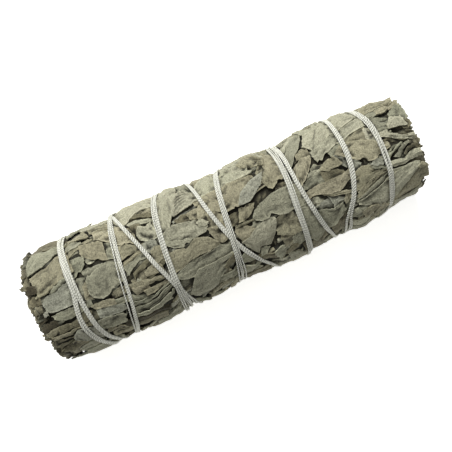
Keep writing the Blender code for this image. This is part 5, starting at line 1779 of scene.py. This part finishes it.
@dataclass(frozen=True)
class BarkFinish(Finish):
    """Dry shrub wood: brown, with fine cracks along it."""

    name: str = "dry_sage_wood"

    def build(self) -> bpy.types.Material:
        """Return the material: brown streaks drawn out along the stem, with the same streaks as bump."""
        material, add, shader = self.start()
        place = add("Attribute", out="Vector", attribute_name="wood_place")
        drawn_out = add("VectorMath", {0: place, 1: (0.3, 3.5, 3.5)}, operation="MULTIPLY")
        streaks = add("TexNoise", {"Vector": drawn_out, "Scale": 1.0, "Detail": 4.0})
        bark, pith = linear_alpha("#5f4a35"), linear_alpha("#b39a76")
        # Dry wood is dull, with dark cracks between paler fibres.
        look = {
            "Base Color": add("Mix", {0: streaks, 6: bark, 7: pith}, out=2, data_type="RGBA"),
            "Normal": add("Bump", {"Height": streaks, "Strength": 0.6, "Distance": 0.0001}),
            "Roughness": 0.85,
        }
        feed(shader, look)
        return material


@dataclass(frozen=True)
class PaperFinish(Finish):
    """White paper, lit from behind a little as a light table is."""

    name: str = "white_paper"

    def build(self) -> bpy.types.Material:
        """Return the material: plain white, with enough light of its own to fade the stick's shadow."""
        material, _, shader = self.start()
        # Matt paper on a light table: an even white, with only a faint shadow under the stick.
        look = {
            "Base Color": linear_alpha("#f6f5f2"),
            "Roughness": 0.95,
            "Emission Color": (1.0, 1.0, 0.99, 1.0),
            "Emission Strength": 0.74,
        }
        feed(shader, look)
        return material


@dataclass(frozen=True)
class Studio:
    """The floor, the soft lights and the camera."""

    view: PhotoView
    floor_half: float = 3.0
    even_light: float = 0.125
    sensor_mm: float = 36.0

    def camera(self) -> None:
        """Put the camera straight above, rolled so that the stick slants as in the photo."""
        data = bpy.data.cameras.new("camera")
        data.sensor_width = self.sensor_mm
        data.lens = self.view.focal_px * self.sensor_mm / PHOTO_SIDE_PX
        data.clip_start = 0.01
        data.clip_end = 10.0
        camera = bpy.data.objects.new("camera", data)
        camera.location = Vector(self.view.aim) + Vector((0.0, 0.0, self.view.distance_mm * MM))
        camera.rotation_euler = (0.0, 0.0, -math.radians(self.view.slant))
        bpy.context.scene.collection.objects.link(camera)
        bpy.context.scene.camera = camera

    def light(self, name: str, place: tuple[float, float, float], size: float, watts: float) -> None:
        """Add one square soft light that faces the stick.

        Args:
            name: the light's name.
            place: where it is.
            size: side of its square.
            watts: its power.
        """
        data = bpy.data.lights.new(name, "AREA")
        data.shape = "SQUARE"
        data.size = size
        data.energy = watts
        lamp = bpy.data.objects.new(name, data)
        lamp.location = place
        lamp.rotation_euler = (Vector(self.view.aim) - Vector(place)).to_track_quat("-Z", "Y").to_euler()
        bpy.context.scene.collection.objects.link(lamp)

    def floor(self) -> None:
        """Add a wide white paper floor under the stick."""
        corners = np.array([[-1, -1, 0], [1, -1, 0], [1, 1, 0], [-1, 1, 0]]) * self.floor_half
        shell = Shell(corners, [np.array([[0, 1, 2, 3]])])
        floor = shell.to_object("paper_floor", PaperFinish().build(), smooth=False)

    def build(self) -> None:
        """Set up the floor, the lights, the even light from all round and the camera."""
        self.floor()
        self.light("key_light", (0.06, 0.60, 0.60), size=0.18, watts=5.75)
        self.light("top_light", (-0.20, 0.10, 0.80), size=0.45, watts=1.4)
        world = bpy.data.worlds.new("even_light")
        world.use_nodes = True
        background = world.node_tree.nodes["Background"]
        feed(background, {"Color": (1.0, 1.0, 1.0, 1.0), "Strength": self.even_light})
        bpy.context.scene.world = world
        bpy.context.scene.view_settings.view_transform = "Standard"
        self.camera()


def hand_over(piece: bpy.types.Object, node: str) -> None:
    """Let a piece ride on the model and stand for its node."""
    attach(piece, "root")
    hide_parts(node)


def main() -> None:
    """Build the leaves, the woody stems, the thread and the studio."""
    logging.basicConfig(level=logging.INFO, format="%(message)s")
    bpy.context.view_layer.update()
    form, route, view = BundleForm(), ThreadRoute(), PhotoView()
    surface = LaidSurface(form, route)
    leaf_finish = FeltedLeafFinish().build()
    for number, piece in enumerate(LeafyStems(form, LeafPlan(form, view)).build(surface, leaf_finish), 1):
        hand_over(piece, f"leafy_stem_{number}")
    bark = BarkFinish().build()
    for number in range(1, form.stems + 1):
        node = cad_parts[f"woody_stem_{number}"]
        piece = WoodyStem().build(f"woody_sage_stem_{number}", node, number, bark)
        LOG.info("%s: %d faces", piece.name, len(piece.data.polygons))
        hand_over(piece, f"woody_stem_{number}")
    thread = BindingThread(form, route).build(surface, CottonFinish().build())
    hand_over(thread, "binding_thread")
    Studio(view).build()


if __name__ == "__main__":
    main()
